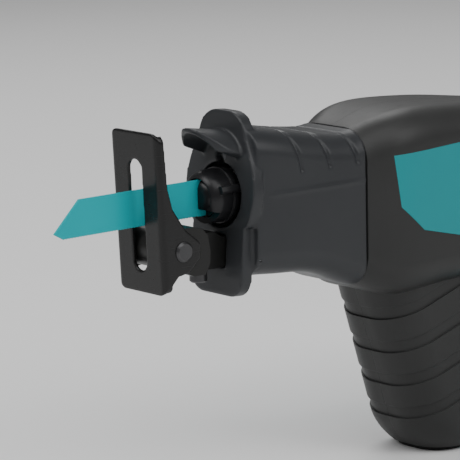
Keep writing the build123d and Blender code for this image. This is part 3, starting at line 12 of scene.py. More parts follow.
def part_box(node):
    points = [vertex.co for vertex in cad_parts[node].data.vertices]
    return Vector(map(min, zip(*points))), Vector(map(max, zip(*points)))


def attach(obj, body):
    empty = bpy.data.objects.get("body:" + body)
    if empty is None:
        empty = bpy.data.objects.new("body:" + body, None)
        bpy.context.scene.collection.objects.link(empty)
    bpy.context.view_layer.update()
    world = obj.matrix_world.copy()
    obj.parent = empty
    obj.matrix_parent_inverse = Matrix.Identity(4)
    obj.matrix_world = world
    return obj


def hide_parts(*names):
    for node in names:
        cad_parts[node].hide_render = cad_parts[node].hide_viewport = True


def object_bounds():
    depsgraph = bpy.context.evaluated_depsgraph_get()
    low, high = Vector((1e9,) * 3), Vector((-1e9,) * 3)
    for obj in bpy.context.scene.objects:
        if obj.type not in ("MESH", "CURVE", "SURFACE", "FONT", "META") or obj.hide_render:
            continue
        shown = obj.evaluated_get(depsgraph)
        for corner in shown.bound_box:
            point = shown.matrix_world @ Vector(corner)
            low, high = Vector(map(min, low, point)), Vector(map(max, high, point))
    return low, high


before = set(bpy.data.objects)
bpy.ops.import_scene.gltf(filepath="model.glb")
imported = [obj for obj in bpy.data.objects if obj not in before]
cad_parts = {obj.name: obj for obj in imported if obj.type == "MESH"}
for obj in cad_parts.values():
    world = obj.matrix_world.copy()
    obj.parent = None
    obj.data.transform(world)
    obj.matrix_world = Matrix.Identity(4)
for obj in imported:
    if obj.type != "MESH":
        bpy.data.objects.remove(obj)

logging.basicConfig(level=logging.INFO, format="%(message)s")
log = logging.getLogger("saw")

MM = 0.001
CAD_BOX = [[float(v) for v in corner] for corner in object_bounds()]

# The frame's places that the pieces below are set from.
STROKE_LINE_Z = sum(corner[2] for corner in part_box("blade")) / 2
PIN_X = sum(corner[0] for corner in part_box("shoe_pin")) / 2

Colour = tuple[float, float, float]


class Texture(Enum):
    """How a finish's relief runs over the surface."""

    MOULDED = "moulded"
    CAST = "cast"
    BRUSHED_X = "brushed_x"
    BRUSHED_Z = "brushed_z"
    STACKED = "stacked"
    POLISHED = "polished"


# ---------------------------------------------------------------- shader node groups
def new_group(
    name: str, inputs: dict[str, tuple[str, float | None]], outputs: dict[str, str],
) -> tuple[bpy.types.NodeTree, bpy.types.Node, bpy.types.Node]:
    """Starts a shader node group with named sockets.

    Args:
        name: The group's name.
        inputs: Socket name to its kind and default value.
        outputs: Socket name to its kind.

    Returns:
        The group tree, its input node and its output node.
    """
    tree = bpy.data.node_groups.new(name, "ShaderNodeTree")
    for label, (kind, default) in inputs.items():
        socket = tree.interface.new_socket(name=label, in_out="INPUT", socket_type=kind)
        if default is not None:
            socket.default_value = default
    for label, kind in outputs.items():
        tree.interface.new_socket(name=label, in_out="OUTPUT", socket_type=kind)
    return tree, tree.nodes.new("NodeGroupInput"), tree.nodes.new("NodeGroupOutput")


def math_node(
    tree: bpy.types.NodeTree, operation: str, first: bpy.types.NodeSocket | float,
    second: bpy.types.NodeSocket | float, clamp: bool = False,
) -> bpy.types.NodeSocket:
    """Adds a Math node.

    Args:
        tree: The node tree.
        operation: The node's operation.
        first: A socket or a number for its first input.
        second: A socket or a number for its second input.
        clamp: Whether the result is kept from 0 to 1.

    Returns:
        The node's output socket.
    """
    node = tree.nodes.new("ShaderNodeMath")
    node.operation = operation
    node.use_clamp = clamp
    for index, value in enumerate((first, second)):
        if isinstance(value, (int, float)):
            node.inputs[index].default_value = value
        else:
            tree.links.new(value, node.inputs[index])
    return node.outputs[0]


def grain_group() -> bpy.types.NodeTree:
    """Makes the surface grain: fine cells broken up by soft clouds.

    Returns:
        A group with a height and a cloudy mask as its outputs.
    """
    tree, start, end = new_group(
        "surface_grain",
        {
            "Vector": ("NodeSocketVector", None),
            "Scale": ("NodeSocketFloat", 900.0),
            "Cloud Scale": ("NodeSocketFloat", 30.0),
            "Pits": ("NodeSocketFloat", 0.5),
        },
        {"Height": "NodeSocketFloat", "Mask": "NodeSocketFloat"},
    )
    links = tree.links
    cells = tree.nodes.new("ShaderNodeTexVoronoi")
    cells.feature = "SMOOTH_F1"
    cells.inputs["Smoothness"].default_value = 0.6
    fine = tree.nodes.new("ShaderNodeTexNoise")
    fine.inputs["Detail"].default_value = 5.0
    fine.inputs["Roughness"].default_value = 0.62
    clouds = tree.nodes.new("ShaderNodeTexNoise")
    clouds.inputs["Detail"].default_value = 3.0
    for node, scale in ((cells, "Scale"), (fine, "Scale"), (clouds, "Cloud Scale")):
        links.new(start.outputs["Vector"], node.inputs["Vector"])
        links.new(start.outputs[scale], node.inputs["Scale"])
    pitted = math_node(tree, "MULTIPLY", cells.outputs["Distance"], start.outputs["Pits"])
    links.new(math_node(tree, "ADD", pitted, fine.outputs["Fac"]), end.inputs["Height"])
    spread = math_node(tree, "MULTIPLY", clouds.outputs["Fac"], 1.9)
    links.new(math_node(tree, "SUBTRACT", spread, 0.45, clamp=True), end.inputs["Mask"])
    return tree


def edge_group() -> bpy.types.NodeTree:
    """Makes the edge wear: a broken mask along sharp edges, and the rounded normal there.

    Returns:
        A group with a mask and a normal as its outputs.
    """
    tree, start, end = new_group(
        "edge_wear",
        {
            "Vector": ("NodeSocketVector", None),
            "Radius": ("NodeSocketFloat", 0.0005),
            "Breakup": ("NodeSocketFloat", 220.0),
        },
        {"Mask": "NodeSocketFloat", "Normal": "NodeSocketVector"},
    )
    links = tree.links
    bevel = tree.nodes.new("ShaderNodeBevel")
    bevel.samples = 6
    links.new(start.outputs["Radius"], bevel.inputs["Radius"])
    geometry = tree.nodes.new("ShaderNodeNewGeometry")
    dot = tree.nodes.new("ShaderNodeVectorMath")
    dot.operation = "DOT_PRODUCT"
    links.new(bevel.outputs["Normal"], dot.inputs[0])
    links.new(geometry.outputs["Normal"], dot.inputs[1])
    turn = math_node(tree, "SUBTRACT", 1.0, dot.outputs["Value"])
    noise = tree.nodes.new("ShaderNodeTexNoise")
    links.new(start.outputs["Vector"], noise.inputs["Vector"])
    links.new(start.outputs["Breakup"], noise.inputs["Scale"])
    noise.inputs["Detail"].default_value = 4.0
    broken = math_node(tree, "MULTIPLY", turn, 7.0, clamp=True)
    above = math_node(tree, "SUBTRACT", noise.outputs["Fac"], 0.38)
    patch = math_node(tree, "MULTIPLY", above, 3.2, clamp=True)
    links.new(math_node(tree, "MULTIPLY", broken, patch), end.inputs["Mask"])
    links.new(bevel.outputs["Normal"], end.inputs["Normal"])
    return tree


def dust_group() -> bpy.types.NodeTree:
    """Makes the handling marks: faint long scuffs and a film of dust on faces that look up.

    Returns:
        A group with a dust mask and a scuff mask as its outputs.
    """
    tree, start, end = new_group(
        "handling_marks",
        {"Vector": ("NodeSocketVector", None), "Scale": ("NodeSocketFloat", 60.0)},
        {"Dust": "NodeSocketFloat", "Scuffs": "NodeSocketFloat"},
    )
    links = tree.links
    geometry = tree.nodes.new("ShaderNodeNewGeometry")
    parts = tree.nodes.new("ShaderNodeSeparateXYZ")
    links.new(geometry.outputs["Normal"], parts.inputs[0])
    upward = math_node(tree, "MULTIPLY", parts.outputs["Z"], 0.8, clamp=True)
    noise = tree.nodes.new("ShaderNodeTexNoise")
    links.new(start.outputs["Vector"], noise.inputs["Vector"])
    links.new(start.outputs["Scale"], noise.inputs["Scale"])
    noise.inputs["Detail"].default_value = 6.0
    links.new(math_node(tree, "MULTIPLY", upward, noise.outputs["Fac"]), end.inputs["Dust"])
    stretch = tree.nodes.new("ShaderNodeMapping")
    stretch.inputs["Scale"].default_value = (0.25, 1.0, 3.0)
    stretch.inputs["Rotation"].default_value = (0.2, 0.35, 0.1)
    links.new(start.outputs["Vector"], stretch.inputs["Vector"])
    streaks = tree.nodes.new("ShaderNodeTexNoise")
    links.new(stretch.outputs["Vector"], streaks.inputs["Vector"])
    streaks.inputs["Scale"].default_value = 260.0
    streaks.inputs["Detail"].default_value = 3.0
    cut = math_node(tree, "SUBTRACT", streaks.outputs["Fac"], 0.6)
    links.new(math_node(tree, "MULTIPLY", cut, 5.0, clamp=True), end.inputs["Scuffs"])
    return tree


GROUPS = {"grain": grain_group(), "edge": edge_group(), "marks": dust_group()}


@dataclass(frozen=True)
class Finish:
    """One finish: its colours, gloss, relief and wear.

    Attributes:
        name: The finish's name.
        colour: Its main colour.
        drift: A second colour that it drifts to in soft clouds.
        rough: Its roughness, from the glossiest patches to the dullest.
        metallic: Whether it is bare metal.
        texture: How its relief runs.
        grain: Size of the grain, in metres.
        relief: Depth of the grain, in metres.
        worn: The colour that shows along its edges.
        wear: How much of the edges is worn.
        edge: Radius that sharp edges are softened to, in metres.
        coat: Weight of a clear coat.
        dust: How much dust lies on upward faces.
        pits: How deep the cells of the grain are against its noise.
        shine: How strongly it reflects, where 0.5 is plain plastic or paint.
    """

    name: str
    colour: Colour
    drift: Colour
    rough: tuple[float, float]
    metallic: float = 0.0
    texture: Texture = Texture.MOULDED
    grain: float = 0.6 * MM
    relief: float = 0.03 * MM
    worn: Colour = (0.2, 0.2, 0.2)
    wear: float = 0.15
    edge: float = 0.45 * MM
    coat: float = 0.0
    dust: float = 0.05
    pits: float = 0.6
    shine: float = 0.35

    def stretch(self) -> tuple[float, float, float]:
        """How the texture's space is stretched along each axis."""
        return {
            Texture.BRUSHED_X: (0.03, 1.0, 1.0),
            Texture.BRUSHED_Z: (1.0, 1.0, 0.03),
            Texture.STACKED: (0.02, 0.02, 2.2),
        }.get(self.texture, (1.0, 1.0, 1.0))

    def build(self) -> bpy.types.Material:
        """Builds the material.

        Returns:
            The material, ready to go in a slot.
        """
        material = bpy.data.materials.new(self.name)
        material.use_nodes = True
        tree = material.node_tree
        links = tree.links
        shader = tree.nodes["Principled BSDF"]
        place = tree.nodes.new("ShaderNodeTexCoord")
        spread = tree.nodes.new("ShaderNodeMapping")
        spread.inputs["Scale"].default_value = self.stretch()
        links.new(place.outputs["Object"], spread.inputs["Vector"])

        grain = self.group_node(tree, "grain", spread.outputs["Vector"])
        grain.inputs["Scale"].default_value = 1.0 / self.grain
        grain.inputs["Cloud Scale"].default_value = 26.0
        grain.inputs["Pits"].default_value = self.pits
        edge = self.group_node(tree, "edge", place.outputs["Object"])
        edge.inputs["Radius"].default_value = self.edge
        marks = self.group_node(tree, "marks", place.outputs["Object"])

        tone = self.mix(tree, grain.outputs["Mask"], self.colour, self.drift)
        wear = math_node(tree, "MULTIPLY", edge.outputs["Mask"], self.wear, clamp=True)
        tone = self.mix(tree, wear, tone, self.worn)
        dust = math_node(tree, "MULTIPLY", marks.outputs["Dust"], self.dust, clamp=True)
        dusty = tuple(0.5 * value + 0.18 for value in self.colour)
        links.new(self.mix(tree, dust, tone, dusty), shader.inputs["Base Color"])

        low, high = self.rough
        rough = math_node(tree, "MULTIPLY", grain.outputs["Mask"], high - low)
        rough = math_node(tree, "ADD", rough, low)
        scuffed = math_node(tree, "MULTIPLY", marks.outputs["Scuffs"], 0.12)
        links.new(math_node(tree, "ADD", rough, scuffed, clamp=True), shader.inputs["Roughness"])

        bump = tree.nodes.new("ShaderNodeBump")
        bump.inputs["Distance"].default_value = self.relief
        bump.inputs["Strength"].default_value = 1.0
        links.new(grain.outputs["Height"], bump.inputs["Height"])
        links.new(edge.outputs["Normal"], bump.inputs["Normal"])
        links.new(bump.outputs["Normal"], shader.inputs["Normal"])
        shader.inputs["Metallic"].default_value = self.metallic
        shader.inputs["Specular IOR Level"].default_value = self.shine
        shader.inputs["Coat Weight"].default_value = self.coat
        shader.inputs["Coat Roughness"].default_value = 0.25
        return material

    def group_node(
        self, tree: bpy.types.NodeTree, group: str, vector: bpy.types.NodeSocket,
    ) -> bpy.types.ShaderNode:
        """Places one of the shared groups and feeds its vector.

        Args:
            tree: The material's nodes.
            group: Which group, by its key.
            vector: The socket that gives the texture's space.

        Returns:
            The group's node.
        """
        node = tree.nodes.new("ShaderNodeGroup")
        node.node_tree = GROUPS[group]
        tree.links.new(vector, node.inputs["Vector"])
        return node

    def mix(
        self, tree: bpy.types.NodeTree, factor: bpy.types.NodeSocket,
        first: Colour | bpy.types.NodeSocket, second: Colour | bpy.types.NodeSocket,
    ) -> bpy.types.NodeSocket:
        """Mixes two colours.

        Args:
            tree: The material's nodes.
            factor: How much of the second colour shows.
            first: A plain colour or a socket.
            second: A plain colour or a socket.

        Returns:
            The mixed colour's socket.
        """
        node = tree.nodes.new("ShaderNodeMix")
        node.data_type = "RGBA"
        tree.links.new(factor, node.inputs["Factor"])
        for socket, value in ((node.inputs[6], first), (node.inputs[7], second)):
            if isinstance(value, tuple):
                socket.default_value = (*value, 1.0)
            else:
                tree.links.new(value, socket)
        return node.outputs[2]


@dataclass(frozen=True)
class LensFinish:
    """Clear moulded plastic for a lamp or a gauge.

    Attributes:
        name: The finish's name.
        tint: The plastic's colour.
        rough: Its roughness.
        grain: Size of the moulding marks, in metres.
        relief: Depth of the moulding marks, in metres.
    """

    name: str
    tint: Colour
    rough: float = 0.08
    grain: float = 1.43 * MM
    relief: float = 0.02 * MM

    def build(self) -> bpy.types.Material:
        """Builds the clear material, faintly moulded.

        Returns:
            The material.
        """
        material = bpy.data.materials.new(self.name)
        material.use_nodes = True
        tree = material.node_tree
        shader = tree.nodes["Principled BSDF"]
        shader.inputs["Base Color"].default_value = (*self.tint, 1.0)
        shader.inputs["Transmission Weight"].default_value = 0.7
        shader.inputs["Roughness"].default_value = self.rough
        place = tree.nodes.new("ShaderNodeTexCoord")
        noise = tree.nodes.new("ShaderNodeTexNoise")
        noise.inputs["Scale"].default_value = 1.0 / self.grain
        tree.links.new(place.outputs["Object"], noise.inputs["Vector"])
        bump = tree.nodes.new("ShaderNodeBump")
        bump.inputs["Distance"].default_value = self.relief
        tree.links.new(noise.outputs["Fac"], bump.inputs["Height"])
        tree.links.new(bump.outputs["Normal"], shader.inputs["Normal"])
        return material


TEAL_PAINT = Finish(
    "teal_paint", (0.0, 0.44, 0.49), (0.0, 0.41, 0.46), (0.4, 0.48), grain=0.9 * MM,
    relief=0.004 * MM, worn=(0.1, 0.5, 0.52), wear=0.25, edge=0.12 * MM, dust=0.0, pits=0.1, shine=0.2)
BLACK_STEEL = Finish(
    "black_steel", (0.009, 0.009, 0.009), (0.013, 0.013, 0.013), (0.2, 0.28), grain=0.5 * MM,
    relief=0.002 * MM, worn=(0.05, 0.05, 0.05), wear=0.12, edge=0.4 * MM, dust=0.01, pits=0.1, shine=0.3)
CAST_BLACK = Finish(
    "cast_black", (0.008, 0.008, 0.008), (0.013, 0.013, 0.012), (0.32, 0.45), texture=Texture.CAST,
    grain=0.8 * MM, relief=0.02 * MM, worn=(0.1, 0.1, 0.1), wear=0.25, edge=0.5 * MM, dust=0.03)
SLEEVE_METAL = Finish(
    "sleeve_metal", (0.009, 0.009, 0.01), (0.015, 0.015, 0.017), (0.26, 0.36), metallic=0.1,
    grain=0.5 * MM, relief=0.006 * MM, worn=(0.14, 0.14, 0.15), wear=0.25, edge=0.4 * MM)
GROUND_STEEL = Finish(
    "ground_steel", (0.5, 0.5, 0.51), (0.6, 0.6, 0.6), (0.2, 0.34), metallic=1.0, texture=Texture.BRUSHED_X,
    grain=0.25 * MM, relief=0.003 * MM, worn=(0.8, 0.8, 0.8), wear=0.4, edge=0.2 * MM, dust=0.0, pits=0.1)
PIN_STEEL = Finish(
    "pin_steel", (0.055, 0.055, 0.058), (0.09, 0.09, 0.092), (0.28, 0.4), metallic=0.8, grain=0.3 * MM,
    relief=0.004 * MM, worn=(0.35, 0.35, 0.36), wear=0.35, edge=0.25 * MM, pits=0.1)
SPRING_WIRE = Finish(
    "spring_wire", (0.42, 0.42, 0.43), (0.5, 0.5, 0.5), (0.22, 0.35), metallic=1.0, grain=0.2 * MM,
    relief=0.002 * MM, worn=(0.7, 0.7, 0.7), edge=0.1 * MM, dust=0.0, pits=0.1)
BRONZE = Finish(
    "sintered_bronze", (0.42, 0.24, 0.1), (0.5, 0.3, 0.14), (0.36, 0.5), metallic=1.0, texture=Texture.CAST,
    grain=0.4 * MM, relief=0.012 * MM, worn=(0.7, 0.5, 0.3), edge=0.3 * MM)
SEAL_RUBBER = Finish(
    "seal_rubber", (0.014, 0.014, 0.014), (0.022, 0.022, 0.022), (0.55, 0.7), grain=0.7 * MM,
    relief=0.02 * MM, worn=(0.05, 0.05, 0.05), edge=0.4 * MM, dust=0.1)
CAST_ALLOY = Finish(
    "cast_alloy", (0.36, 0.37, 0.38), (0.44, 0.45, 0.46), (0.42, 0.58), metallic=0.9, texture=Texture.CAST,
    grain=1.1 * MM, relief=0.05 * MM, worn=(0.7, 0.7, 0.7), wear=0.3, edge=0.6 * MM)
LAMINATIONS = Finish(
    "laminations", (0.22, 0.22, 0.23), (0.3, 0.3, 0.31), (0.35, 0.5), metallic=1.0, texture=Texture.STACKED,
    grain=0.5 * MM, relief=0.03 * MM, worn=(0.5, 0.5, 0.5), edge=0.2 * MM, pits=0.1)
COPPER = Finish(
    "enamelled_copper", (0.5, 0.16, 0.05), (0.58, 0.22, 0.08), (0.25, 0.38), metallic=0.9,
    texture=Texture.STACKED, grain=0.7 * MM, relief=0.08 * MM, worn=(0.7, 0.35, 0.15), edge=0.5 * MM, pits=0.1)
GLASS_FILLED = Finish(
    "glass_filled_black", (0.02, 0.02, 0.021), (0.03, 0.03, 0.031), (0.42, 0.55), grain=0.5 * MM,
    relief=0.02 * MM, worn=(0.09, 0.09, 0.09), edge=0.35 * MM)
BOARD = Finish(
    "lacquered_board", (0.01, 0.1, 0.04), (0.015, 0.14, 0.05), (0.3, 0.42), grain=0.5 * MM,
    relief=0.01 * MM, worn=(0.3, 0.3, 0.15), edge=0.15 * MM, coat=0.3)
BOOT_RUBBER = Finish(
    "boot_rubber", (0.026, 0.028, 0.031), (0.033, 0.035, 0.038), (0.34, 0.45), grain=0.55 * MM,
    relief=0.016 * MM, worn=(0.11, 0.12, 0.13), wear=0.22, edge=0.8 * MM, dust=0.06, pits=0.5)
GRIP_RUBBER = Finish(
    "grip_rubber", (0.022, 0.0225, 0.022), (0.029, 0.0295, 0.029), (0.4, 0.52), grain=0.7 * MM,
    relief=0.03 * MM, worn=(0.08, 0.085, 0.085), wear=0.2, edge=0.7 * MM, dust=0.08, pits=0.7)
TEAL_PLASTIC = Finish(
    "teal_plastic", (0.0, 0.26, 0.29), (0.0, 0.285, 0.31), (0.36, 0.46), grain=0.5 * MM,
    relief=0.014 * MM, worn=(0.1, 0.36, 0.38), wear=0.2, edge=0.6 * MM, dust=0.03, pits=0.5)
BLACK_PLASTIC = Finish(
    "black_plastic", (0.012, 0.012, 0.0125), (0.018, 0.018, 0.0185), (0.4, 0.52), grain=0.6 * MM,
    relief=0.028 * MM, worn=(0.08, 0.08, 0.08), wear=0.2, edge=0.5 * MM, dust=0.05)
CELL_WRAP = Finish(
    "cell_sleeve", (0.02, 0.12, 0.2), (0.03, 0.15, 0.24), (0.3, 0.4), grain=1.0 * MM,
    relief=0.006 * MM, worn=(0.2, 0.3, 0.4), edge=0.3 * MM, pits=0.1)
CONTACT = Finish(
    "plated_contact", (0.6, 0.42, 0.16), (0.66, 0.48, 0.2), (0.2, 0.32), metallic=1.0, grain=0.3 * MM,
    relief=0.002 * MM, worn=(0.8, 0.65, 0.35), edge=0.15 * MM, pits=0.1)
SCREW_ZINC = Finish(
    "blackened_screw", (0.07, 0.07, 0.072), (0.11, 0.11, 0.112), (0.26, 0.4), metallic=0.9, grain=0.3 * MM,
    relief=0.004 * MM, worn=(0.5, 0.5, 0.5), wear=0.4, edge=0.2 * MM, pits=0.1)
LAMP_CLEAR = LensFinish("lamp_clear", (0.92, 0.95, 0.97))
GAUGE_SMOKE = LensFinish("gauge_smoke", (0.12, 0.01, 0.012), 0.15)


class MaterialShelf:
    """Every material, built once and handed out by its finish."""

    def __init__(self) -> None:
        """Starts with an empty shelf."""
        self.made: dict[str, bpy.types.Material] = {}

    def get(self, finish: Finish | LensFinish) -> bpy.types.Material:
        """Gives a finish's material, building it the first time."""
        if finish.name not in self.made:
            self.made[finish.name] = finish.build()
        return self.made[finish.name]

    def dress(self, node: str, finish: Finish | LensFinish) -> None:
        """Puts a finish on a frame node.

        Args:
            node: The node's name.
            finish: The finish that it gets.
        """
        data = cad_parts[node].data
        material = self.get(finish)
        if not data.materials:
            data.materials.append(material)
        for index in range(len(data.materials)):
            data.materials[index] = material
        log.info("%s: %s", node, finish.name)


# ---------------------------------------------------------------- sub-assemblies
@dataclass
class FrameDress:
    """A sub-assembly whose pieces keep the frame's shapes and only get their finish."""

    shelf: MaterialShelf
    finishes: dict[str, Finish | LensFinish] = field(default_factory=dict)

    def dress(self) -> None:
        """Gives each piece its finish."""
        for node, finish in self.finishes.items():
            self.shelf.dress(node, finish)


class CuttingEnd(FrameDress):
    """Blade, quick-release clamp and slider rod."""

    def __init__(self, shelf: MaterialShelf) -> None:
        """Names the finish of each piece."""
        super().__init__(shelf, {
            "blade": TEAL_PAINT, "blade_clamp_body": SLEEVE_METAL, "clamp_sleeve": SLEEVE_METAL,
            "clamp_lock_pin": GROUND_STEEL, "clamp_spring": SPRING_WIRE, "clamp_retaining_ring": PIN_STEEL,
            "slider_rod": GROUND_STEEL, "yoke": GROUND_STEEL, "yoke_pin": PIN_STEEL,
        })


class Drive(FrameDress):
    """Gear case, crank, gears and motor."""

    def __init__(self, shelf: MaterialShelf) -> None:
        """Names the finish of each piece."""
        super().__init__(shelf, {
            "gear_housing": CAST_ALLOY, "gear_housing_cover": CAST_ALLOY, "gear_housing_screws": SCREW_ZINC,
            "front_bush": BRONZE, "rear_bush": BRONZE, "dust_seal": SEAL_RUBBER, "crank_gear": GROUND_STEEL,
            "crank_pin": PIN_STEEL, "crank_roller": GROUND_STEEL, "crank_bearing": GROUND_STEEL,
            "motor_bearing_top": GROUND_STEEL, "motor_bearing_bottom": GROUND_STEEL,
            "motor_shaft": GROUND_STEEL, "motor_pinion": GROUND_STEEL, "rotor_core": LAMINATIONS,
            "rotor_magnets": PIN_STEEL, "stator_core": LAMINATIONS, "stator_coils": COPPER,
            "motor_fan": GLASS_FILLED, "controller": BOARD,
        })


class ShoeEnd(FrameDress):
    """Shoe, its bracket, its stop and its lock."""

    def __init__(self, shelf: MaterialShelf) -> None:
        """Names the finish of each piece."""
        super().__init__(shelf, {
            "shoe_plate": BLACK_STEEL, "shoe_pin": PIN_STEEL, "shoe_washers": PIN_STEEL,
            "shoe_bracket": CAST_BLACK, "stop_bolt": PIN_STEEL, "shoe_lock_button": BLACK_PLASTIC,
            "shoe_lock_spring": SPRING_WIRE,
        })


class Casing(FrameDress):
    """The two halves, their elastomer covers, foot, trigger and switch."""

    def __init__(self, shelf: MaterialShelf) -> None:
        """Names the finish of each piece."""
        super().__init__(shelf, {
            "housing_left": TEAL_PLASTIC, "housing_right": TEAL_PLASTIC, "soft_cover_left": GRIP_RUBBER,
            "soft_cover_right": GRIP_RUBBER, "grip_cover_left": GRIP_RUBBER, "grip_cover_right": GRIP_RUBBER,
            "housing_screws": SCREW_ZINC, "stand_foot": SEAL_RUBBER, "trigger": BLACK_PLASTIC,
            "trigger_spring": SPRING_WIRE, "switch_body": BLACK_PLASTIC, "lock_off_button": BLACK_PLASTIC,
            "lamp_lens": LAMP_CLEAR,
        })


class BatteryPack(FrameDress):
    """The slide-on pack, its latch and its gauge."""

    def __init__(self, shelf: MaterialShelf) -> None:
        """Names the finish of each piece."""
        super().__init__(shelf, {
            "battery_case_bottom": BLACK_PLASTIC, "battery_case_top": BLACK_PLASTIC,
            "battery_cells": CELL_WRAP, "battery_board": BOARD, "battery_contacts": CONTACT,
            "battery_terminal": GLASS_FILLED, "battery_latch": GLASS_FILLED,
            "battery_latch_spring": SPRING_WIRE, "gauge_button": GLASS_FILLED, "gauge_window": GAUGE_SMOKE,
        })


@dataclass
class SoftenedPiece:
    """A moulded piece whose corners all run into each other, made from a frame node's solid.

    Attributes:
        node: The frame node that it stands for.
        body: The body that it rides on.
        slot: The record's material slot; not used.
        voxel: Size of the cells that it is rebuilt from, in metres.
        passes: How many times its surface is relaxed.
    """

    shelf: MaterialShelf
    node: str
    body: str
    slot: str
    finish: Finish
    voxel: float
    passes: int

    def build(self) -> bpy.types.Object:
        """Rebuilds the solid as one even skin, relaxes it and dresses it.

        Returns:
            The new piece.
        """
        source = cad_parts[self.node]
        data = source.data.copy()
        piece = bpy.data.objects.new(f"{self.node}_skin", data)
        piece.matrix_world = source.matrix_world.copy()
        bpy.context.scene.collection.objects.link(piece)
        rebuild = piece.modifiers.new("rebuild", "REMESH")
        rebuild.mode = "VOXEL"
        rebuild.voxel_size = self.voxel
        relax = piece.modifiers.new("relax", "SMOOTH")
        relax.factor = 0.5
        relax.iterations = self.passes
        graph = bpy.context.evaluated_depsgraph_get()
        piece.data = bpy.data.meshes.new_from_object(piece.evaluated_get(graph))
        piece.modifiers.clear()
        self.shape(piece)
        piece.data.polygons.foreach_set("use_smooth", [True] * len(piece.data.polygons))
        piece.data.materials.clear()
        piece.data.materials.append(self.shelf.get(self.finish))
        piece.data.update()
        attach(piece, self.body)
        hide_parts(self.node)
        log.info("%s: %d faces for %s", piece.name, len(piece.data.polygons), self.node)
        return piece

    def shape(self, piece: bpy.types.Object) -> None:
        """Leaves the relaxed shape as it is."""


@dataclass
class NoseBoot(SoftenedPiece):
    """The rubber nose, with the raised parting seam along each side.

    Attributes:
        seam_height: How far the seam stands out, in metres.
        seam_width: Half its width, in metres.
        seam_z: Its height above the stroke line, in metres.
    """

    seam_height: float = 0.4 * MM
    seam_width: float = 1.1 * MM
    seam_z: float = 1.0 * MM

    def shape(self, piece: bpy.types.Object) -> None:
        """Raises the parting seam on both sides of the neck.

        Args:
            piece: The relaxed piece.
        """
        low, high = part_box(self.node)
        front = low[0] + 0.32 * (high[0] - low[0])
        side = 0.84 * high[1]
        for vertex in piece.data.vertices:
            x, y, z = vertex.co
            if x < front or abs(y) < side:
                continue
            away = (z - STROKE_LINE_Z - self.seam_z) / self.seam_width
            fade = min(1.0, (x - front) / (6 * MM))
            vertex.co.y += math.copysign(self.seam_height * fade * math.exp(-away * away), y)
            vertex.co.y = max(low[1], min(high[1], vertex.co.y))


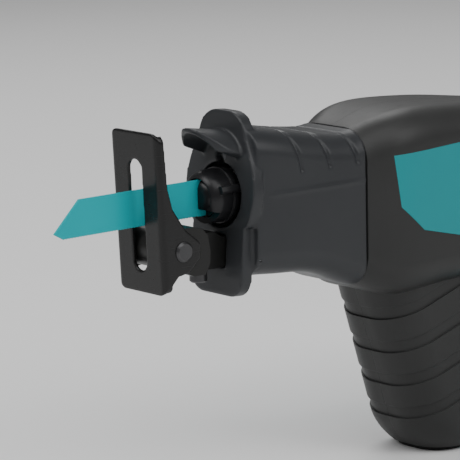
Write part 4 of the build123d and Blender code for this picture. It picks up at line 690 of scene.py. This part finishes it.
# ---------------------------------------------------------------- studio
@dataclass
class Studio:
    """Pale floor, soft lamps and the camera.

    Attributes:
        azimuth: Degrees round from looking along +Y.
        elevation: Degrees above level.
        roll: Degrees that the camera is turned about its own axis.
        distance: From the aim point, in metres.
        lens: Focal length, in millimetres, on a 36 mm sensor.
        aim: What the camera looks at, from the shoe's pin and the stroke line, in metres.
        reach: How far the floor goes each way, in metres.
        ring: How far round the saw's axis the lamps stand, in metres.
        lit: The point that the lamps are turned to, in metres.
    """

    azimuth: float = -40.02
    elevation: float = 10.77
    roll: float = -1.25
    distance: float = 1.475
    lens: float = 229.1
    aim: tuple[float, float, float] = (18.17 * MM, -33.79 * MM, -11.21 * MM)
    reach: float = 9.0
    ring: float = 1.5
    lit: tuple[float, float, float] = (-0.05, 0.0, 0.12)

    def build(self) -> None:
        """Makes the floor, the lamps, the sky and the camera."""
        self.floor()
        self.lamps()
        self.camera()

    def floor(self) -> None:
        """A wide pale floor that the saw stands on."""
        low = CAD_BOX[0][2]
        corners = [(x * self.reach, y * self.reach, low) for x, y in ((-1, -1), (1, -1), (1, 1), (-1, 1))]
        mesh = bpy.data.meshes.new("floor")
        mesh.from_pydata(corners, [], [(0, 1, 2, 3)])
        floor = bpy.data.objects.new("floor", mesh)
        bpy.context.scene.collection.objects.link(floor)
        material = bpy.data.materials.new("pale_paper")
        material.use_nodes = True
        shader = material.node_tree.nodes["Principled BSDF"]
        shader.inputs["Base Color"].default_value = (0.9, 0.9, 0.9, 1.0)
        shader.inputs["Roughness"].default_value = 0.9
        mesh.materials.append(material)

    def lamps(self) -> None:
        """Four large soft lamps and an even dim sky."""
        for name, angle, height, size, power in (
            ("key", -100.0, 1.5, 1.2, 20.0),
            ("fill", 20.0, 1.1, 1.0, 9.0),
            ("back", 150.0, 1.9, 1.4, 20.0),
            ("top", -20.0, 2.6, 2.2, 30.0),
        ):
            data = bpy.data.lights.new(name, "AREA")
            data.size = size
            data.energy = power
            lamp = bpy.data.objects.new(name, data)
            turn = math.radians(angle)
            lamp.location = (self.ring * math.sin(turn), -self.ring * math.cos(turn), height)
            toward = Vector(self.lit) - lamp.location
            lamp.rotation_euler = toward.to_track_quat("-Z", "Y").to_euler()
            bpy.context.scene.collection.objects.link(lamp)
        world = bpy.data.worlds.new("studio_air")
        world.use_nodes = True
        sky = world.node_tree.nodes["Background"]
        sky.inputs["Color"].default_value = (1.0, 1.0, 1.0, 1.0)
        sky.inputs["Strength"].default_value = 0.15
        bpy.context.scene.world = world

    def camera(self) -> None:
        """Places the camera and makes it the scene's own."""
        turn, rise = math.radians(self.azimuth), math.radians(self.elevation)
        back = Vector((math.sin(turn) * math.cos(rise), -math.cos(turn) * math.cos(rise), math.sin(rise)))
        right = Vector((math.cos(turn), math.sin(turn), 0))
        up = back.cross(right)
        lean = math.radians(self.roll)
        side = right * math.cos(lean) + up * math.sin(lean)
        top = up * math.cos(lean) - right * math.sin(lean)
        aim = Vector((PIN_X, 0, STROKE_LINE_Z)) + Vector(self.aim)
        place = aim + back * self.distance
        data = bpy.data.cameras.new("camera")
        data.lens = self.lens
        data.sensor_width = 36.0
        data.clip_end = 50.0
        camera = bpy.data.objects.new("camera", data)
        camera.matrix_world = Matrix((
            (side.x, top.x, back.x, place.x),
            (side.y, top.y, back.y, place.y),
            (side.z, top.z, back.z, place.z),
            (0, 0, 0, 1),
        ))
        bpy.context.scene.collection.objects.link(camera)
        bpy.context.scene.camera = camera


def main() -> None:
    """Builds every sub-assembly in order."""
    shelf = MaterialShelf()
    Studio().build()
    for part in (CuttingEnd(shelf), Drive(shelf), ShoeEnd(shelf), Casing(shelf), BatteryPack(shelf)):
        part.dress()
    SoftenedPiece(shelf, "shoe_plate", "shoe", "dark_steel", BLACK_STEEL, 0.45 * MM, 10).build()
    NoseBoot(shelf, "boot", "housing", "boot_rubber", BOOT_RUBBER, 0.7 * MM, 3).build()


if __name__ == "__main__":
    main()
